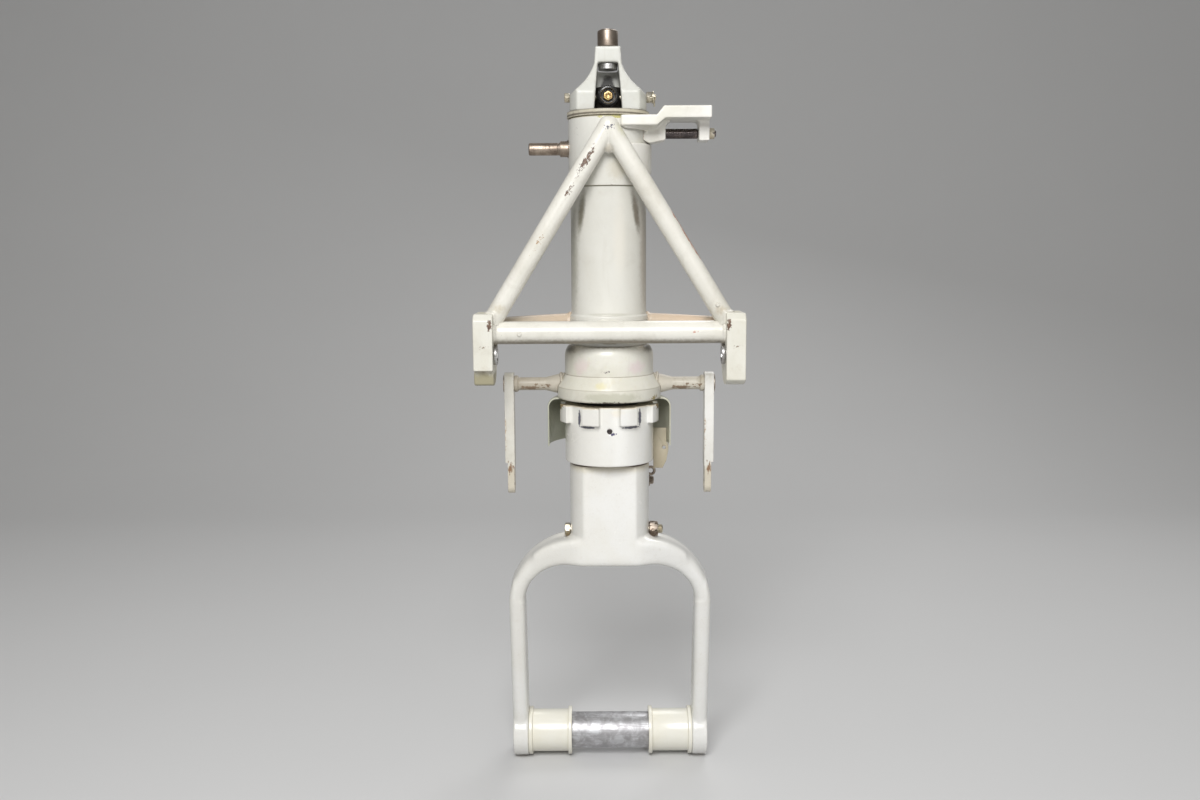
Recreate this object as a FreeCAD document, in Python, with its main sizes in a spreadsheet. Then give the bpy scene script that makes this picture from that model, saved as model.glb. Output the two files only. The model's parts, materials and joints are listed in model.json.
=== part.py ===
import FreeCAD, Part
import math
import os
import Sketcher
from FreeCAD import Placement, Rotation, Vector

# Nose landing gear strut: a shock strut that steers inside a welded trunnion frame.
# Lengths are millimetres. Every piece is drawn about the strut's own centreline (X = 0, Y = 0)
# with Z = 0 at the height of the trunnion bores, +Z up and -Y forwards. Left and right are as
# seen from the front, so +X is right. Its Placement then moves it back by trunnionSetback, so
# that the origin of the model is the middle of the trunnion bore axis.

SIZES = [
    ("trunnionSetback", 52, "strut centreline behind the trunnion bore axis"),
    ("barrelRadius", 37.4, "outer radius of the barrel tube"),
    ("barrelBore", 34, "inner radius of the barrel tube"),
    ("barrelTop", 226.5, "top face of the barrel"),
    ("sleeveRadius", 39, "outer radius of the upper sleeve"),
    ("sleeveBottom", 161, "lower edge of the upper sleeve"),
    ("bandTop", 35, "upper edge of the weld band"),
    ("bandBottom", 28, "lower edge of the weld band"),
    ("barrelEnd", -12, "bottom end of the barrel inside the housing"),
    ("housingRadius", 44.5, "radius of the lower bearing housing"),
    ("housingFlare", 52, "radius of the housing's flared foot"),
    ("housingTop", 6, "top of the housing's rounded shoulder"),
    ("coneTop", -23, "where the housing starts to flare"),
    ("coneBottom", -35.5, "where the flare ends"),
    ("housingBottom", -48, "bottom face of the housing"),
    ("bushLength", 22, "length of each steering bush"),
    ("cylinderRadius", 30, "outer radius of the oleo cylinder"),
    ("cylinderBore", 27, "bore radius of the oleo cylinder"),
    ("cylinderEnd", -108, "bottom end of the oleo cylinder"),
    ("neckRadius", 12, "radius of the neck that carries the steering tower"),
    ("neckTop", 256, "top of the neck"),
    ("cylinderRoof", 206, "inside of the oleo cylinder's closed top"),
    ("runningGap", 0.05, "radial clearance of a running fit"),
    ("planeFront", 47.5, "front frame tubes' centre plane, ahead of the strut"),
    ("braceRadius", 9.5, "outer radius of the slanted braces"),
    ("braceApex", 215.5, "height where the braces meet"),
    ("braceFootX", 112.6, "half spread of the brace feet"),
    ("braceFootZ", 32, "height of the brace feet"),
    ("crossRadius", 11, "outer radius of the front cross tube"),
    ("crossHeight", 21, "height of the front cross tube"),
    ("rearTubeRadius", 8, "outer radius of the rear cross tubes"),
    ("tubeWall", 1.8, "wall of the frame tubes"),
    ("lugInner", 110.5, "inner face of a trunnion lug"),
    ("lugWidth", 19, "thickness of a trunnion lug"),
    ("lugTop", 40, "top of a trunnion lug"),
    ("lugBottom", -14, "bottom of a lug's front block"),
    ("lugFront", 70, "front face of a lug, ahead of the strut"),
    ("lugStep", 63, "front of the left lug's boss below its block, ahead of the strut"),
    ("lugBack", 14, "rear face of a lug, ahead of the strut"),
    ("lugBoss", 29.5, "radius of the round boss of a lug"),
    ("lugChamfer", 6, "bevel along a lug's top edges"),
    ("trunnionBore", 6.35, "bore radius of the trunnion bushes"),
    ("bushRadius", 8.6, "outer radius of a trunnion bush"),
    ("armFront", 42, "front face of the uplock arm's plate, ahead of the strut"),
    ("armCheek", 20, "front face of the uplock arm's cheeks, ahead of the strut"),
    ("armBack", 4, "rear face of the uplock arm, behind the strut centreline"),
    ("armTop", 234.5, "top of the uplock arm"),
    ("saddleRadius", 42.6, "outer radius of the saddle plate under the uplock arm"),
    ("saddleBottom", 173, "lower edge of the saddle plate"),
    ("saddleTop", 201, "upper edge of the saddle plate"),
    ("uplockPinZ", 211.5, "height of the uplock pin"),
    ("uplockPinY", 7, "uplock pin ahead of the strut centreline"),
    ("uplockRoller", 4.9, "outer radius of the uplock roller"),
    ("uplockBolt", 3.2, "radius of the uplock bolt"),
    ("studHeight", 198, "height of the side stud"),
    ("studRadius", 6.1, "radius of the side stud"),
    ("studTip", 78, "outer end of the side stud"),
    ("rodHeight", -34, "height of the side rods"),
    ("rodRadius", 6.6, "radius of the side rods"),
    ("linkInner", 96, "inner face of a side link"),
    ("linkWidth", 9.4, "thickness of a side link"),
    ("linkLength", 104, "pivot to end hole of a side link"),
    ("linkWaist", 8.5, "half depth of a side link"),
    ("linkRise", 7.75, "height where a side link's crown begins, above its pivot"),
    ("linkHole", 3.2, "radius of a side link's end hole"),
    ("linkThin", 0.5, "how much thinner a side link's end is"),
    ("shroudRadius", 62.4, "outer radius of the rear shroud"),
    ("shroudWall", 1.4, "thickness of the shroud"),
    ("shroudBottom", -97, "lower edge of the shroud"),
    ("rivetCircle", 48.3, "radius of the circle of the shroud's rivets"),
    ("collarRadius", 44.8, "outer radius of the steering collar"),
    ("collarTop", -53, "top of the collar"),
    ("collarBottom", -112, "bottom of the collar"),
    ("toothRadius", 51, "radius over the collar's teeth"),
    ("toothTop", -53, "top of the teeth"),
    ("toothBottom", -71, "bottom of the teeth"),
    ("toothAngle", 21, "width of one tooth in degrees"),
    ("toothCount", 8, "number of teeth"),
    ("screwZ", -76.5, "height of the collar's set screw"),
    ("screwRadius", 2.6, "radius of the collar's set screw"),
    ("ringRadius", 40.2, "radius of the thrust ring"),
    ("ringTop", 232.5, "top of the thrust ring"),
    ("towerWidth", 37.5, "half width of the tower's base"),
    ("towerTop", 294.2, "top of the steering tower"),
    ("towerHalfDepth", 24, "half depth of the steering tower's base"),
    ("towerTopDepth", 12.5, "half depth of the steering tower's top"),
    ("slotTop", 278.9, "top of the tower's slot"),
    ("towerBoltZ", 247, "height of the tower's cross bolt"),
    ("towerBolt", 3.2, "radius of the tower's cross bolt"),
    ("valveZ", 246.5, "height of the filler valve"),
    ("valveRadius", 10.2, "radius of the filler valve's body"),
    ("rollerRadius", 10, "outer radius of the steering roller"),
    ("rollerTop", 310.2, "top of the steering roller"),
    ("postRadius", 5, "radius of the roller's post"),
    ("pistonRadius", 25, "outer radius of the piston tube"),
    ("pistonBore", 21.5, "inner radius of the piston tube"),
    ("pistonTop", 100, "top of the piston tube with the strut compressed"),
    ("pistonEnd", -203, "bottom end of the piston tube"),
    ("stemRadius", 40.5, "radius of the fork's stem"),
    ("stemFlat", 31, "half depth over the stem's flats"),
    ("stemTop", -113, "top of the fork's stem"),
    ("stemEnd", -214, "where the fork's stem ends inside the crown"),
    ("rakePivot", -205, "height about which the fork's arms are raked"),
    ("crownTop", -189, "top of the fork's crown"),
    ("crownUnder", -218, "underside of the fork's crown"),
    ("forkOuter", 105, "outer half width of the fork"),
    ("forkInner", 88, "inner half width of the fork"),
    ("forkDepth", 34, "depth of the fork's arms"),
    ("outerBend", 75, "outer radius where the crown turns into an arm"),
    ("innerBend", 45, "inner radius where the crown turns into an arm"),
    ("armEdge", 7, "rounding of the arms' long edges"),
    ("axleDrop", -421, "height of the axle"),
    ("axleTrail", 42, "axle behind the strut centreline"),
    ("axleRadius", 19.05, "outer radius of the axle"),
    ("axleBore", 16, "inner radius of the axle"),
    ("tieRod", 3.95, "radius of the tie rod inside the axle"),
    ("eyeRadius", 26, "radius of the round ends of the fork's arms"),
    ("spacerBody", 22.4, "radius of an axle spacer's body"),
    ("spacerFlange", 25.4, "radius of an axle spacer's flanges"),
    ("spacerInner", 41.5, "inner face of a spacer"),
    ("forkBoltZ", -185, "height of the fork's cross bolt"),
    ("forkBolt", 4.75, "radius of the fork's cross bolt"),
    ("pivotY", 58, "torque link pivots behind the strut"),
    ("upperPivotZ", -146, "height of the upper torque link pivot"),
    ("lowerPivotZ", -206, "height of the lower torque link pivot"),
    ("linkReach", 110, "pivot to apex of a torque link"),
    ("pivotBolt", 4.75, "radius of the torque link bolts"),
    ("apexClearance", 2.6, "extra radius of the open apex hole"),
    ("earInner", 26, "inner face of the torque link ears"),
    ("earWidth", 10, "thickness of the torque link ears"),
    ("earRadius", 13, "radius of the ears' round ends"),
    ("boltHead", 7.6, "radius of a torque link bolt's head"),
    ("tieEyeX", 44.5, "tie-down eye beside the strut"),
    ("tieEyeY", 50, "tie-down eye behind the strut"),
    ("tieEyeZ", -134, "height of the tie-down eye"),
]


class Size:
    """A number kept together with the spreadsheet expression that gives it."""

    def __init__(self, value, text=None):
        self.value = float(value)
        self.text = text or f"({value})"

    def __add__(self, other):
        other = as_size(other)
        return Size(self.value + other.value, f"({self.text} + {other.text})")

    def __sub__(self, other):
        other = as_size(other)
        return Size(self.value - other.value, f"({self.text} - {other.text})")

    def __mul__(self, other):
        other = as_size(other)
        return Size(self.value * other.value, f"({self.text} * {other.text})")

    def __truediv__(self, other):
        other = as_size(other)
        return Size(self.value / other.value, f"({self.text} / {other.text})")

    def __rsub__(self, other):
        return as_size(other) - self

    def __neg__(self):
        return Size(-self.value, f"(0 - {self.text})")

    __radd__ = __add__
    __rmul__ = __mul__


def as_size(number):
    return number if isinstance(number, Size) else Size(number)


def span(across, along):
    """Length of the line with these two components."""
    across, along = as_size(across), as_size(along)
    return Size(math.hypot(across.value, along.value), f"sqrt({across.text}^2 + {along.text}^2)")


def rise_at(radius, away):
    """Height of a circle of this radius, so far away from its centre."""
    radius, away = as_size(radius), as_size(away)
    return Size(math.sqrt(radius.value ** 2 - away.value ** 2),
                f"sqrt({radius.text}^2 - {away.text}^2)")


class Dimensions:
    """The driving dimensions by name, each bound to its spreadsheet cell."""


doc = FreeCAD.newDocument("NoseGearStrut")
sheet = doc.addObject("Spreadsheet::Sheet", "sizes")
dim = Dimensions()
for row, (alias, value, meaning) in enumerate(SIZES, start=1):
    sheet.set(f"A{row}", meaning)
    sheet.set(f"B{row}", str(value))
    sheet.setAlias(f"B{row}", alias)
    setattr(dim, alias, Size(value, f"sizes.{alias}"))
doc.recompute()

subparts = {}


# ---- helpers ----------------------------------------------------------------

def bind(thing, prop, size):
    size = as_size(size)
    setattr(thing, prop, size.value)
    thing.setExpression(prop, size.text)


def bind_base(thing, spot):
    """Put a thing at a spot, each coordinate bound to the sheet."""
    spot = [as_size(part) for part in spot]
    thing.Placement.Base = Vector(*[part.value for part in spot])
    for letter, part in zip("xyz", spot):
        thing.setExpression(f"Placement.Base.{letter}", part.text)


def keep(thing, label, spot=(0, 0, 0), turn=None):
    """Name a finished sub-part and put it in its place in the model."""
    thing.Label = label
    if turn is not None:
        thing.Placement.Rotation = turn
    bind_base(thing, (spot[0], dim.trunnionSetback + spot[1], spot[2]))
    subparts[label] = thing
    return thing


def new_body(name):
    return doc.addObject("PartDesign::Body", f"{name}_body")


def new_sketch(body, role, name, offset=None):
    """A sketch on one of the body's own origin planes, moved along its normal."""
    sketch = body.newObject("Sketcher::SketchObject", name)
    plane = next(item for item in body.Origin.OriginFeatures if item.Role == role)
    sketch.AttachmentSupport = [(plane, "")]
    sketch.MapMode = "FlatFace"
    if offset is not None:
        offset = as_size(offset)
        sketch.AttachmentOffset = Placement(Vector(0, 0, offset.value), Rotation())
        sketch.setExpression("AttachmentOffset.Base.z", offset.text)
    return sketch


def fix_point(sketch, geometry, point, spot):
    """Hold a sketch point at a spot measured from the sketch's origin."""
    for kind, size in zip(("DistanceX", "DistanceY"), spot):
        size = as_size(size)
        index = sketch.addConstraint(
            Sketcher.Constraint(kind, -1, 1, geometry, point, size.value))
        sketch.setExpression(f"Constraints[{index}]", size.text)


def arc_between(start, end, radius):
    """Arc from start to end: anticlockwise for a positive radius, else clockwise."""
    chord = end - start
    rise = math.sqrt(max(radius ** 2 - (chord.Length / 2) ** 2, 0))
    side = Vector(-chord.y, chord.x, 0).normalize()
    centre = (start + end) / 2 + side * (rise if radius > 0 else -rise)
    angles = [math.atan2(spot.y - centre.y, spot.x - centre.x) for spot in (start, end)]
    if radius < 0:
        angles.reverse()
    circle = Part.Circle(centre, Vector(0, 0, 1), abs(radius))
    return Part.ArcOfCircle(circle, angles[0], angles[1])


def draw_outline(sketch, corners):
    """Closed outline through the corners. A corner's third value is the radius of the arc
    that leads to it."""
    count = len(corners)
    flat = [Vector(as_size(corner[0]).value, as_size(corner[1]).value, 0) for corner in corners]
    first = sketch.GeometryCount
    for index, corner in enumerate(corners):
        if len(corner) == 3:
            shape = arc_between(flat[index - 1], flat[index], as_size(corner[2]).value)
        else:
            shape = Part.LineSegment(flat[index - 1], flat[index])
        sketch.addGeometry(shape, False)
    for index, corner in enumerate(corners):
        follower = corners[(index + 1) % count]
        exit_point = 1 if is_clockwise(corner) else 2
        entry_point = 2 if is_clockwise(follower) else 1
        sketch.addConstraint(Sketcher.Constraint(
            "Coincident", first + index, exit_point, first + (index + 1) % count, entry_point))
        fix_point(sketch, first + index, exit_point, corner[:2])
        if len(corner) == 3:
            fix_arc(sketch, first + index, corners[index - 1], corner)


def fix_arc(sketch, geometry, start, end):
    """Settle an arc whose ends are held: by its radius, or by its centre on a half circle."""
    radius = as_size(end[2])
    radius = -radius if radius.value < 0 else radius
    run = [as_size(end[axis]) - start[axis] for axis in (0, 1)]
    if abs(math.hypot(run[0].value, run[1].value) - 2 * radius.value) > 1e-6:
        index = sketch.addConstraint(Sketcher.Constraint("Radius", geometry, radius.value))
        sketch.setExpression(f"Constraints[{index}]", radius.text)
        return
    axis = 1 if abs(run[0].value) > abs(run[1].value) else 0
    centre = (as_size(start[axis]) + end[axis]) / 2
    kind = ("DistanceX", "DistanceY")[axis]
    index = sketch.addConstraint(Sketcher.Constraint(kind, -1, 1, geometry, 3, centre.value))
    sketch.setExpression(f"Constraints[{index}]", centre.text)


def is_clockwise(corner):
    return len(corner) == 3 and as_size(corner[2]).value < 0


def draw_circle(sketch, spot, radius):
    spot = [as_size(part) for part in spot]
    radius = as_size(radius)
    centre = Vector(spot[0].value, spot[1].value, 0)
    index = sketch.addGeometry(Part.Circle(centre, Vector(0, 0, 1), radius.value), False)
    fix_point(sketch, index, 3, spot)
    bound = sketch.addConstraint(Sketcher.Constraint("Radius", index, radius.value))
    sketch.setExpression(f"Constraints[{bound}]", radius.text)


def pad(body, sketch, length, centred=False, backwards=False):
    feature = body.newObject("PartDesign::Pad", f"{sketch.Name}_pad")
    feature.Profile = sketch
    bind(feature, "Length", length)
    if centred:
        feature.SideType = "Symmetric"
    feature.Reversed = backwards
    return feature


def cut_through(body, sketch):
    """Pocket that goes right through both ways from the sketch."""
    feature = body.newObject("PartDesign::Pocket", f"{sketch.Name}_pocket")
    feature.Profile = sketch
    feature.SideType = "Symmetric"
    feature.Type = "ThroughAll"
    return feature


def pocket(body, sketch, length):
    """Pocket along the sketch's own normal."""
    feature = body.newObject("PartDesign::Pocket", f"{sketch.Name}_pocket")
    feature.Profile = sketch
    bind(feature, "Length", length)
    feature.Reversed = True
    return feature


def turned_body(name, corners, angle=360):
    """Body turned about the strut's centreline from (radius, height) corners."""
    body = new_body(name)
    sketch = new_sketch(body, "XZ_Plane", f"{name}_section")
    draw_outline(sketch, corners)
    feature = body.newObject("PartDesign::Revolution", f"{name}_turn")
    feature.Profile = sketch
    feature.ReferenceAxis = (sketch, ["V_Axis"])
    bind(feature, "Angle", angle)
    return body


def ring_body(name, inner, outer, bottom, top):
    corners = [(inner, bottom), (outer, bottom), (outer, top), (inner, top)]
    return turned_body(name, corners)


def shaft_body(name, role, circles, start, length):
    """Round bar or tube along the normal of an origin plane, from start."""
    body = new_body(name)
    sketch = new_sketch(body, role, f"{name}_circle", start)
    for spot, radius in circles:
        draw_circle(sketch, spot, radius)
    pad(body, sketch, length)
    return body


def round_edges(body, radius, wanted, name):
    """Fillet the edges of the body's tip that the test picks."""
    doc.recompute()
    tip = body.Tip
    names = [f"Edge{number}" for number, edge in enumerate(tip.Shape.Edges, start=1)
             if wanted(edge)]
    feature = body.newObject("PartDesign::Fillet", name)
    feature.Base = (tip, names)
    bind(feature, "Radius", radius)
    return feature


def middle(edge):
    return edge.valueAt((edge.FirstParameter + edge.LastParameter) / 2)


def cylinder(name, radius, start, end):
    """Part cylinder between two spots, given as coordinates bound to the sheet."""
    start = [as_size(part) for part in start]
    end = [as_size(part) for part in end]
    way = Vector(*[b.value - a.value for a, b in zip(start, end)])
    run = [b - a for a, b in zip(start, end)]
    thing = doc.addObject("Part::Cylinder", name)
    bind(thing, "Radius", radius)
    bind(thing, "Height", span(span(run[0], run[1]), run[2]))
    thing.Placement = Placement(Vector(), Rotation(Vector(0, 0, 1), way))
    bind_base(thing, start)
    return thing


def block(name, low, high):
    """Part box between two opposite corners."""
    thing = doc.addObject("Part::Box", name)
    for prop, bottom, top in zip(("Length", "Width", "Height"), low, high):
        bind(thing, prop, as_size(top) - bottom)
    bind_base(thing, low)
    return thing


def less(name, base, *tools):
    """The base with each tool cut away in turn."""
    for number, tool in enumerate(tools):
        cut = doc.addObject("Part::Cut", f"{name}_cut{number}")
        cut.Base = base
        cut.Tool = tool
        base = cut
    return base


def joined(name, *pieces):
    fuse = doc.addObject("Part::MultiFuse", f"{name}_fuse")
    fuse.Shapes = list(pieces)
    fuse.Refine = True
    return fuse


def grouped(name, *pieces):
    """Separate alike solids kept together as one sub-part."""
    group = doc.addObject("Part::Compound", f"{name}_group")
    group.Links = list(pieces)
    return group


def hex_prism(name, role, across_flats, start, length, spot=(0, 0), bore=None, turn=0.0):
    """Hexagon bar along a plane's normal: a bolt head or a nut."""
    body = new_body(name)
    sketch = new_sketch(body, role, f"{name}_hex", start)
    reach = as_size(across_flats) / math.sqrt(3)
    corners = []
    for step in range(6):
        angle = math.radians(60 * step + turn)
        corners.append((spot[0] + reach * round(math.cos(angle), 9),
                        spot[1] + reach * round(math.sin(angle), 9)))
    draw_outline(sketch, corners)
    if bore is not None:
        draw_circle(sketch, spot, bore)
    pad(body, sketch, length)
    return body


# ---- trunnion frame ---------------------------------------------------------

def make_barrel():
    step = dim.sleeveRadius - dim.barrelRadius
    corners = [
        (dim.barrelBore, dim.barrelEnd),
        (dim.barrelRadius, dim.barrelEnd),
        (dim.barrelRadius, dim.bandBottom - step),
        (dim.sleeveRadius, dim.bandBottom),
        (dim.sleeveRadius, dim.bandTop),
        (dim.barrelRadius, dim.bandTop + step),
        (dim.barrelRadius, dim.sleeveBottom),
        (dim.sleeveRadius, dim.sleeveBottom),
        (dim.sleeveRadius, dim.barrelTop - 1),
        (dim.sleeveRadius - 1, dim.barrelTop),
        (dim.barrelBore, dim.barrelTop),
    ]
    keep(turned_body("barrel", corners), "outer_barrel")


def make_housing():
    seat = dim.barrelRadius
    corners = [
        (dim.barrelBore, dim.housingBottom),
        (dim.housingFlare - 1.5, dim.housingBottom),
        (dim.housingFlare, dim.housingBottom + 1.5),
        (dim.housingFlare, dim.coneBottom),
        (dim.housingRadius, dim.coneTop),
        (dim.housingRadius, dim.housingTop - 10),
        (dim.housingRadius - 0.9, dim.housingTop - 5.5),
        (dim.housingRadius - 3, dim.housingTop - 1.8),
        (seat + 1.8, dim.housingTop),
        (seat, dim.housingTop),
        (seat, dim.barrelEnd),
        (dim.barrelBore, dim.barrelEnd),
    ]
    keep(turned_body("housing", corners), "lower_bearing_housing")


def make_steering_bushes():
    inner = dim.cylinderRadius + dim.runningGap
    places = {"upper": dim.barrelTop - dim.bushLength - 2, "lower": dim.housingBottom + 2}
    rings = [ring_body(f"{name}_bush", inner, dim.barrelBore, bottom, bottom + dim.bushLength)
             for name, bottom in places.items()]
    keep(grouped("steering_bushes", *rings), "steering_bushes")


def frame_tube(name, radius, start, end, *tools):
    """Hollow frame tube whose ends are cut to sit against other pieces."""
    outside = cylinder(f"{name}_outside", radius, start, end)
    inside = cylinder(f"{name}_inside", as_size(radius) - dim.tubeWall, start, end)
    return less(name, outside, inside, *tools)


def barrel_solid(name, radius):
    return cylinder(name, radius, (0, 0, dim.barrelEnd), (0, 0, dim.barrelTop))


def make_braces():
    """Two slanted tubes that meet in front of the barrel's top, each cut on the mid plane."""
    drop = dim.braceApex - dim.braceFootZ
    over = 0.16
    top_z = dim.braceApex + drop * over
    for side, name in ((1, "right"), (-1, "left")):
        foot = (dim.braceFootX * side, -dim.planeFront, dim.braceFootZ)
        head = (-dim.braceFootX * (side * over), -dim.planeFront, top_z)
        half = block(f"brace_{name}_half", (-80 if side > 0 else 0, -80, 150),
                     (0 if side > 0 else 80, 0, 300))
        crown = block(f"brace_{name}_crown", (-60, -80, dim.braceApex + 9), (60, 0, 320))
        sleeve = barrel_solid(f"brace_{name}_sleeve", dim.sleeveRadius)
        lug = lug_block(f"brace_{name}_lug", side)
        tube = frame_tube(f"brace_{name}", dim.braceRadius, foot, head, half, crown, sleeve, lug)
        keep(tube, f"brace_{name}")


def lug_block(name, side):
    """Plain block in the place of a lug, which cuts the ends of the tubes."""
    near = dim.lugInner * side
    far = (dim.lugInner + dim.lugWidth) * side
    low, high = (near, far) if side > 0 else (far, near)
    return block(name, (low, -dim.lugFront, dim.lugBottom), (high, 0, dim.lugTop))


def make_cross_tubes():
    front = (-dim.planeFront, dim.crossHeight)
    tools = [barrel_solid("cross_barrel", dim.barrelRadius + 1)]
    for side, name in ((1, "right"), (-1, "left")):
        foot = (dim.braceFootX * side, -dim.planeFront, dim.braceFootZ)
        head = (0, -dim.planeFront, dim.braceApex)
        tools.append(cylinder(f"cross_{name}_notch", dim.braceRadius, foot, head))
    tube = frame_tube("cross", dim.crossRadius, (-dim.lugInner, *front), (dim.lugInner, *front),
                      *tools)
    keep(tube, "front_cross_tube")
    rear = []
    for side, name in ((1, "right"), (-1, "left")):
        foot = ((dim.lugInner + 4) * side, -dim.planeFront + 21, dim.crossHeight + 5.5)
        head = (dim.barrelBore * (side * 0.6), 12, dim.crossHeight + 8)
        rear.append(frame_tube(f"rear_{name}", dim.rearTubeRadius, foot, head,
                               barrel_solid(f"rear_{name}_barrel", dim.sleeveRadius),
                               lug_block(f"rear_{name}_lug", side)))
    keep(grouped("rear_cross_tubes", *rear), "rear_cross_tubes")


def make_lugs():
    """Trunnion lugs: a square front block and a round boss with a bush in it. The left block
    stands ahead of its boss and the right one runs straight down into it."""
    bore_y = -dim.trunnionSetback
    chamfer = dim.lugChamfer
    bushes = []
    for side, name in ((1, "right"), (-1, "left")):
        start = dim.lugInner if side > 0 else -(dim.lugInner + dim.lugWidth)
        body = new_body(f"lug_{name}")
        sketch = new_sketch(body, "YZ_Plane", f"lug_{name}_outline", start)
        front = dim.lugFront if side > 0 else dim.lugStep
        block_foot = [] if side > 0 else [(-dim.lugFront, dim.lugBottom),
                                          (-front, dim.lugBottom)]
        draw_outline(sketch, [
            *block_foot,
            (-front, -rise_at(dim.lugBoss, front - dim.trunnionSetback)),
            (bore_y + dim.lugBoss, 0, dim.lugBoss),
            (-dim.lugBack, chamfer),
            (-dim.lugBack, dim.lugTop - chamfer),
            (-dim.lugBack - chamfer, dim.lugTop),
            (-dim.lugFront + chamfer, dim.lugTop),
            (-dim.lugFront, dim.lugTop - chamfer),
        ])
        draw_circle(sketch, (bore_y, 0), dim.bushRadius)
        pad(body, sketch, dim.lugWidth)
        keep(body, f"trunnion_lug_{name}")

        bush = new_body(f"bush_{name}")
        sleeve = new_sketch(bush, "YZ_Plane", f"bush_{name}_sleeve", start)
        draw_circle(sleeve, (bore_y, 0), dim.bushRadius)
        draw_circle(sleeve, (bore_y, 0), dim.trunnionBore)
        pad(bush, sleeve, dim.lugWidth)
        face = dim.lugInner - 3 if side > 0 else -dim.lugInner
        flange = new_sketch(bush, "YZ_Plane", f"bush_{name}_flange", face)
        draw_circle(flange, (bore_y, 0), dim.bushRadius + 1)
        draw_circle(flange, (bore_y, 0), dim.trunnionBore)
        pad(bush, flange, 3)
        bushes.append(bush)
    keep(grouped("trunnion_bushes", *bushes), "trunnion_bushes")


def make_uplock():
    """Cranked arm on the barrel's right side with a roller for the uplock hook: two cheeks
    under a deeper plate that reaches round the front of the sleeve."""
    under = dim.uplockPinZ
    body = new_body("arm")
    sketch = new_sketch(body, "XZ_Plane", "arm_outline", -dim.armBack)
    draw_outline(sketch, [
        (24, 225.5), (24, 212.5), (30, 206), (40, 201.5), (55.5, 204.5), (55.5, 218),
        (60.5, 223), (84, 223), (87.5, 219.5, -3.5), (87.5, 204), (98, 204), (98, dim.armTop),
        (52.5, dim.armTop), (46, 225.5),
    ])
    pad(body, sketch, dim.armCheek + dim.armBack)
    plate = new_sketch(body, "XZ_Plane", "arm_plate", -dim.armBack)
    draw_outline(plate, [
        (13, 226.3), (13, 216.3), (46, 216.3), (54, 223), (98, 223), (98, dim.armTop),
        (52.5, dim.armTop), (46, 226.3),
    ])
    pad(body, plate, dim.armFront + dim.armBack)
    hole = new_sketch(body, "YZ_Plane", "arm_hole", 50)
    draw_circle(hole, (-dim.uplockPinY, under), dim.uplockBolt)
    pocket(body, hole, 60)
    stopper = barrel_solid("arm_barrel", dim.sleeveRadius)
    keep(less("uplock_arm", body, stopper), "uplock_arm")

    saddle = doc.addObject("Part::Common", "saddle_common")
    saddle.Base = ring_body("saddle", dim.sleeveRadius, dim.saddleRadius, dim.saddleBottom,
                            dim.saddleTop)
    saddle.Tool = block("saddle_sector", (22, -36, dim.saddleBottom - 1),
                        (46, 14, dim.saddleTop + 1))
    keep(saddle, "arm_saddle")

    centre = (-dim.uplockPinY, under)
    keep(shaft_body("uplock_roller", "YZ_Plane",
                    [(centre, dim.uplockRoller), (centre, dim.uplockBolt + dim.runningGap)],
                    56, 31), "uplock_roller")
    bolt = shaft_body("uplock_bolt", "YZ_Plane", [(centre, dim.uplockBolt)], 50, 55)
    keep(bolt, "uplock_bolt")
    nut = hex_prism("uplock_nut", "YZ_Plane", 10, 98, 5.5, centre, bore=dim.uplockBolt)
    keep(nut, "uplock_nut")


def make_stud():
    body = new_body("stud")
    shank = new_sketch(body, "YZ_Plane", "stud_shank", -dim.studTip)
    draw_circle(shank, (0, dim.studHeight), dim.studRadius)
    pad(body, shank, dim.studTip - 30)
    collar = new_sketch(body, "YZ_Plane", "stud_collar", -47.5)
    draw_circle(collar, (0, dim.studHeight), dim.studRadius + 1.6)
    pad(body, collar, 12)
    doc.recompute()
    round_edges(body, 1.2, lambda edge: middle(edge).x < -dim.studTip.value + 0.1, "stud_edge")
    keep(less("stud", body, barrel_solid("stud_barrel", dim.sleeveRadius)), "side_stud")


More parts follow.
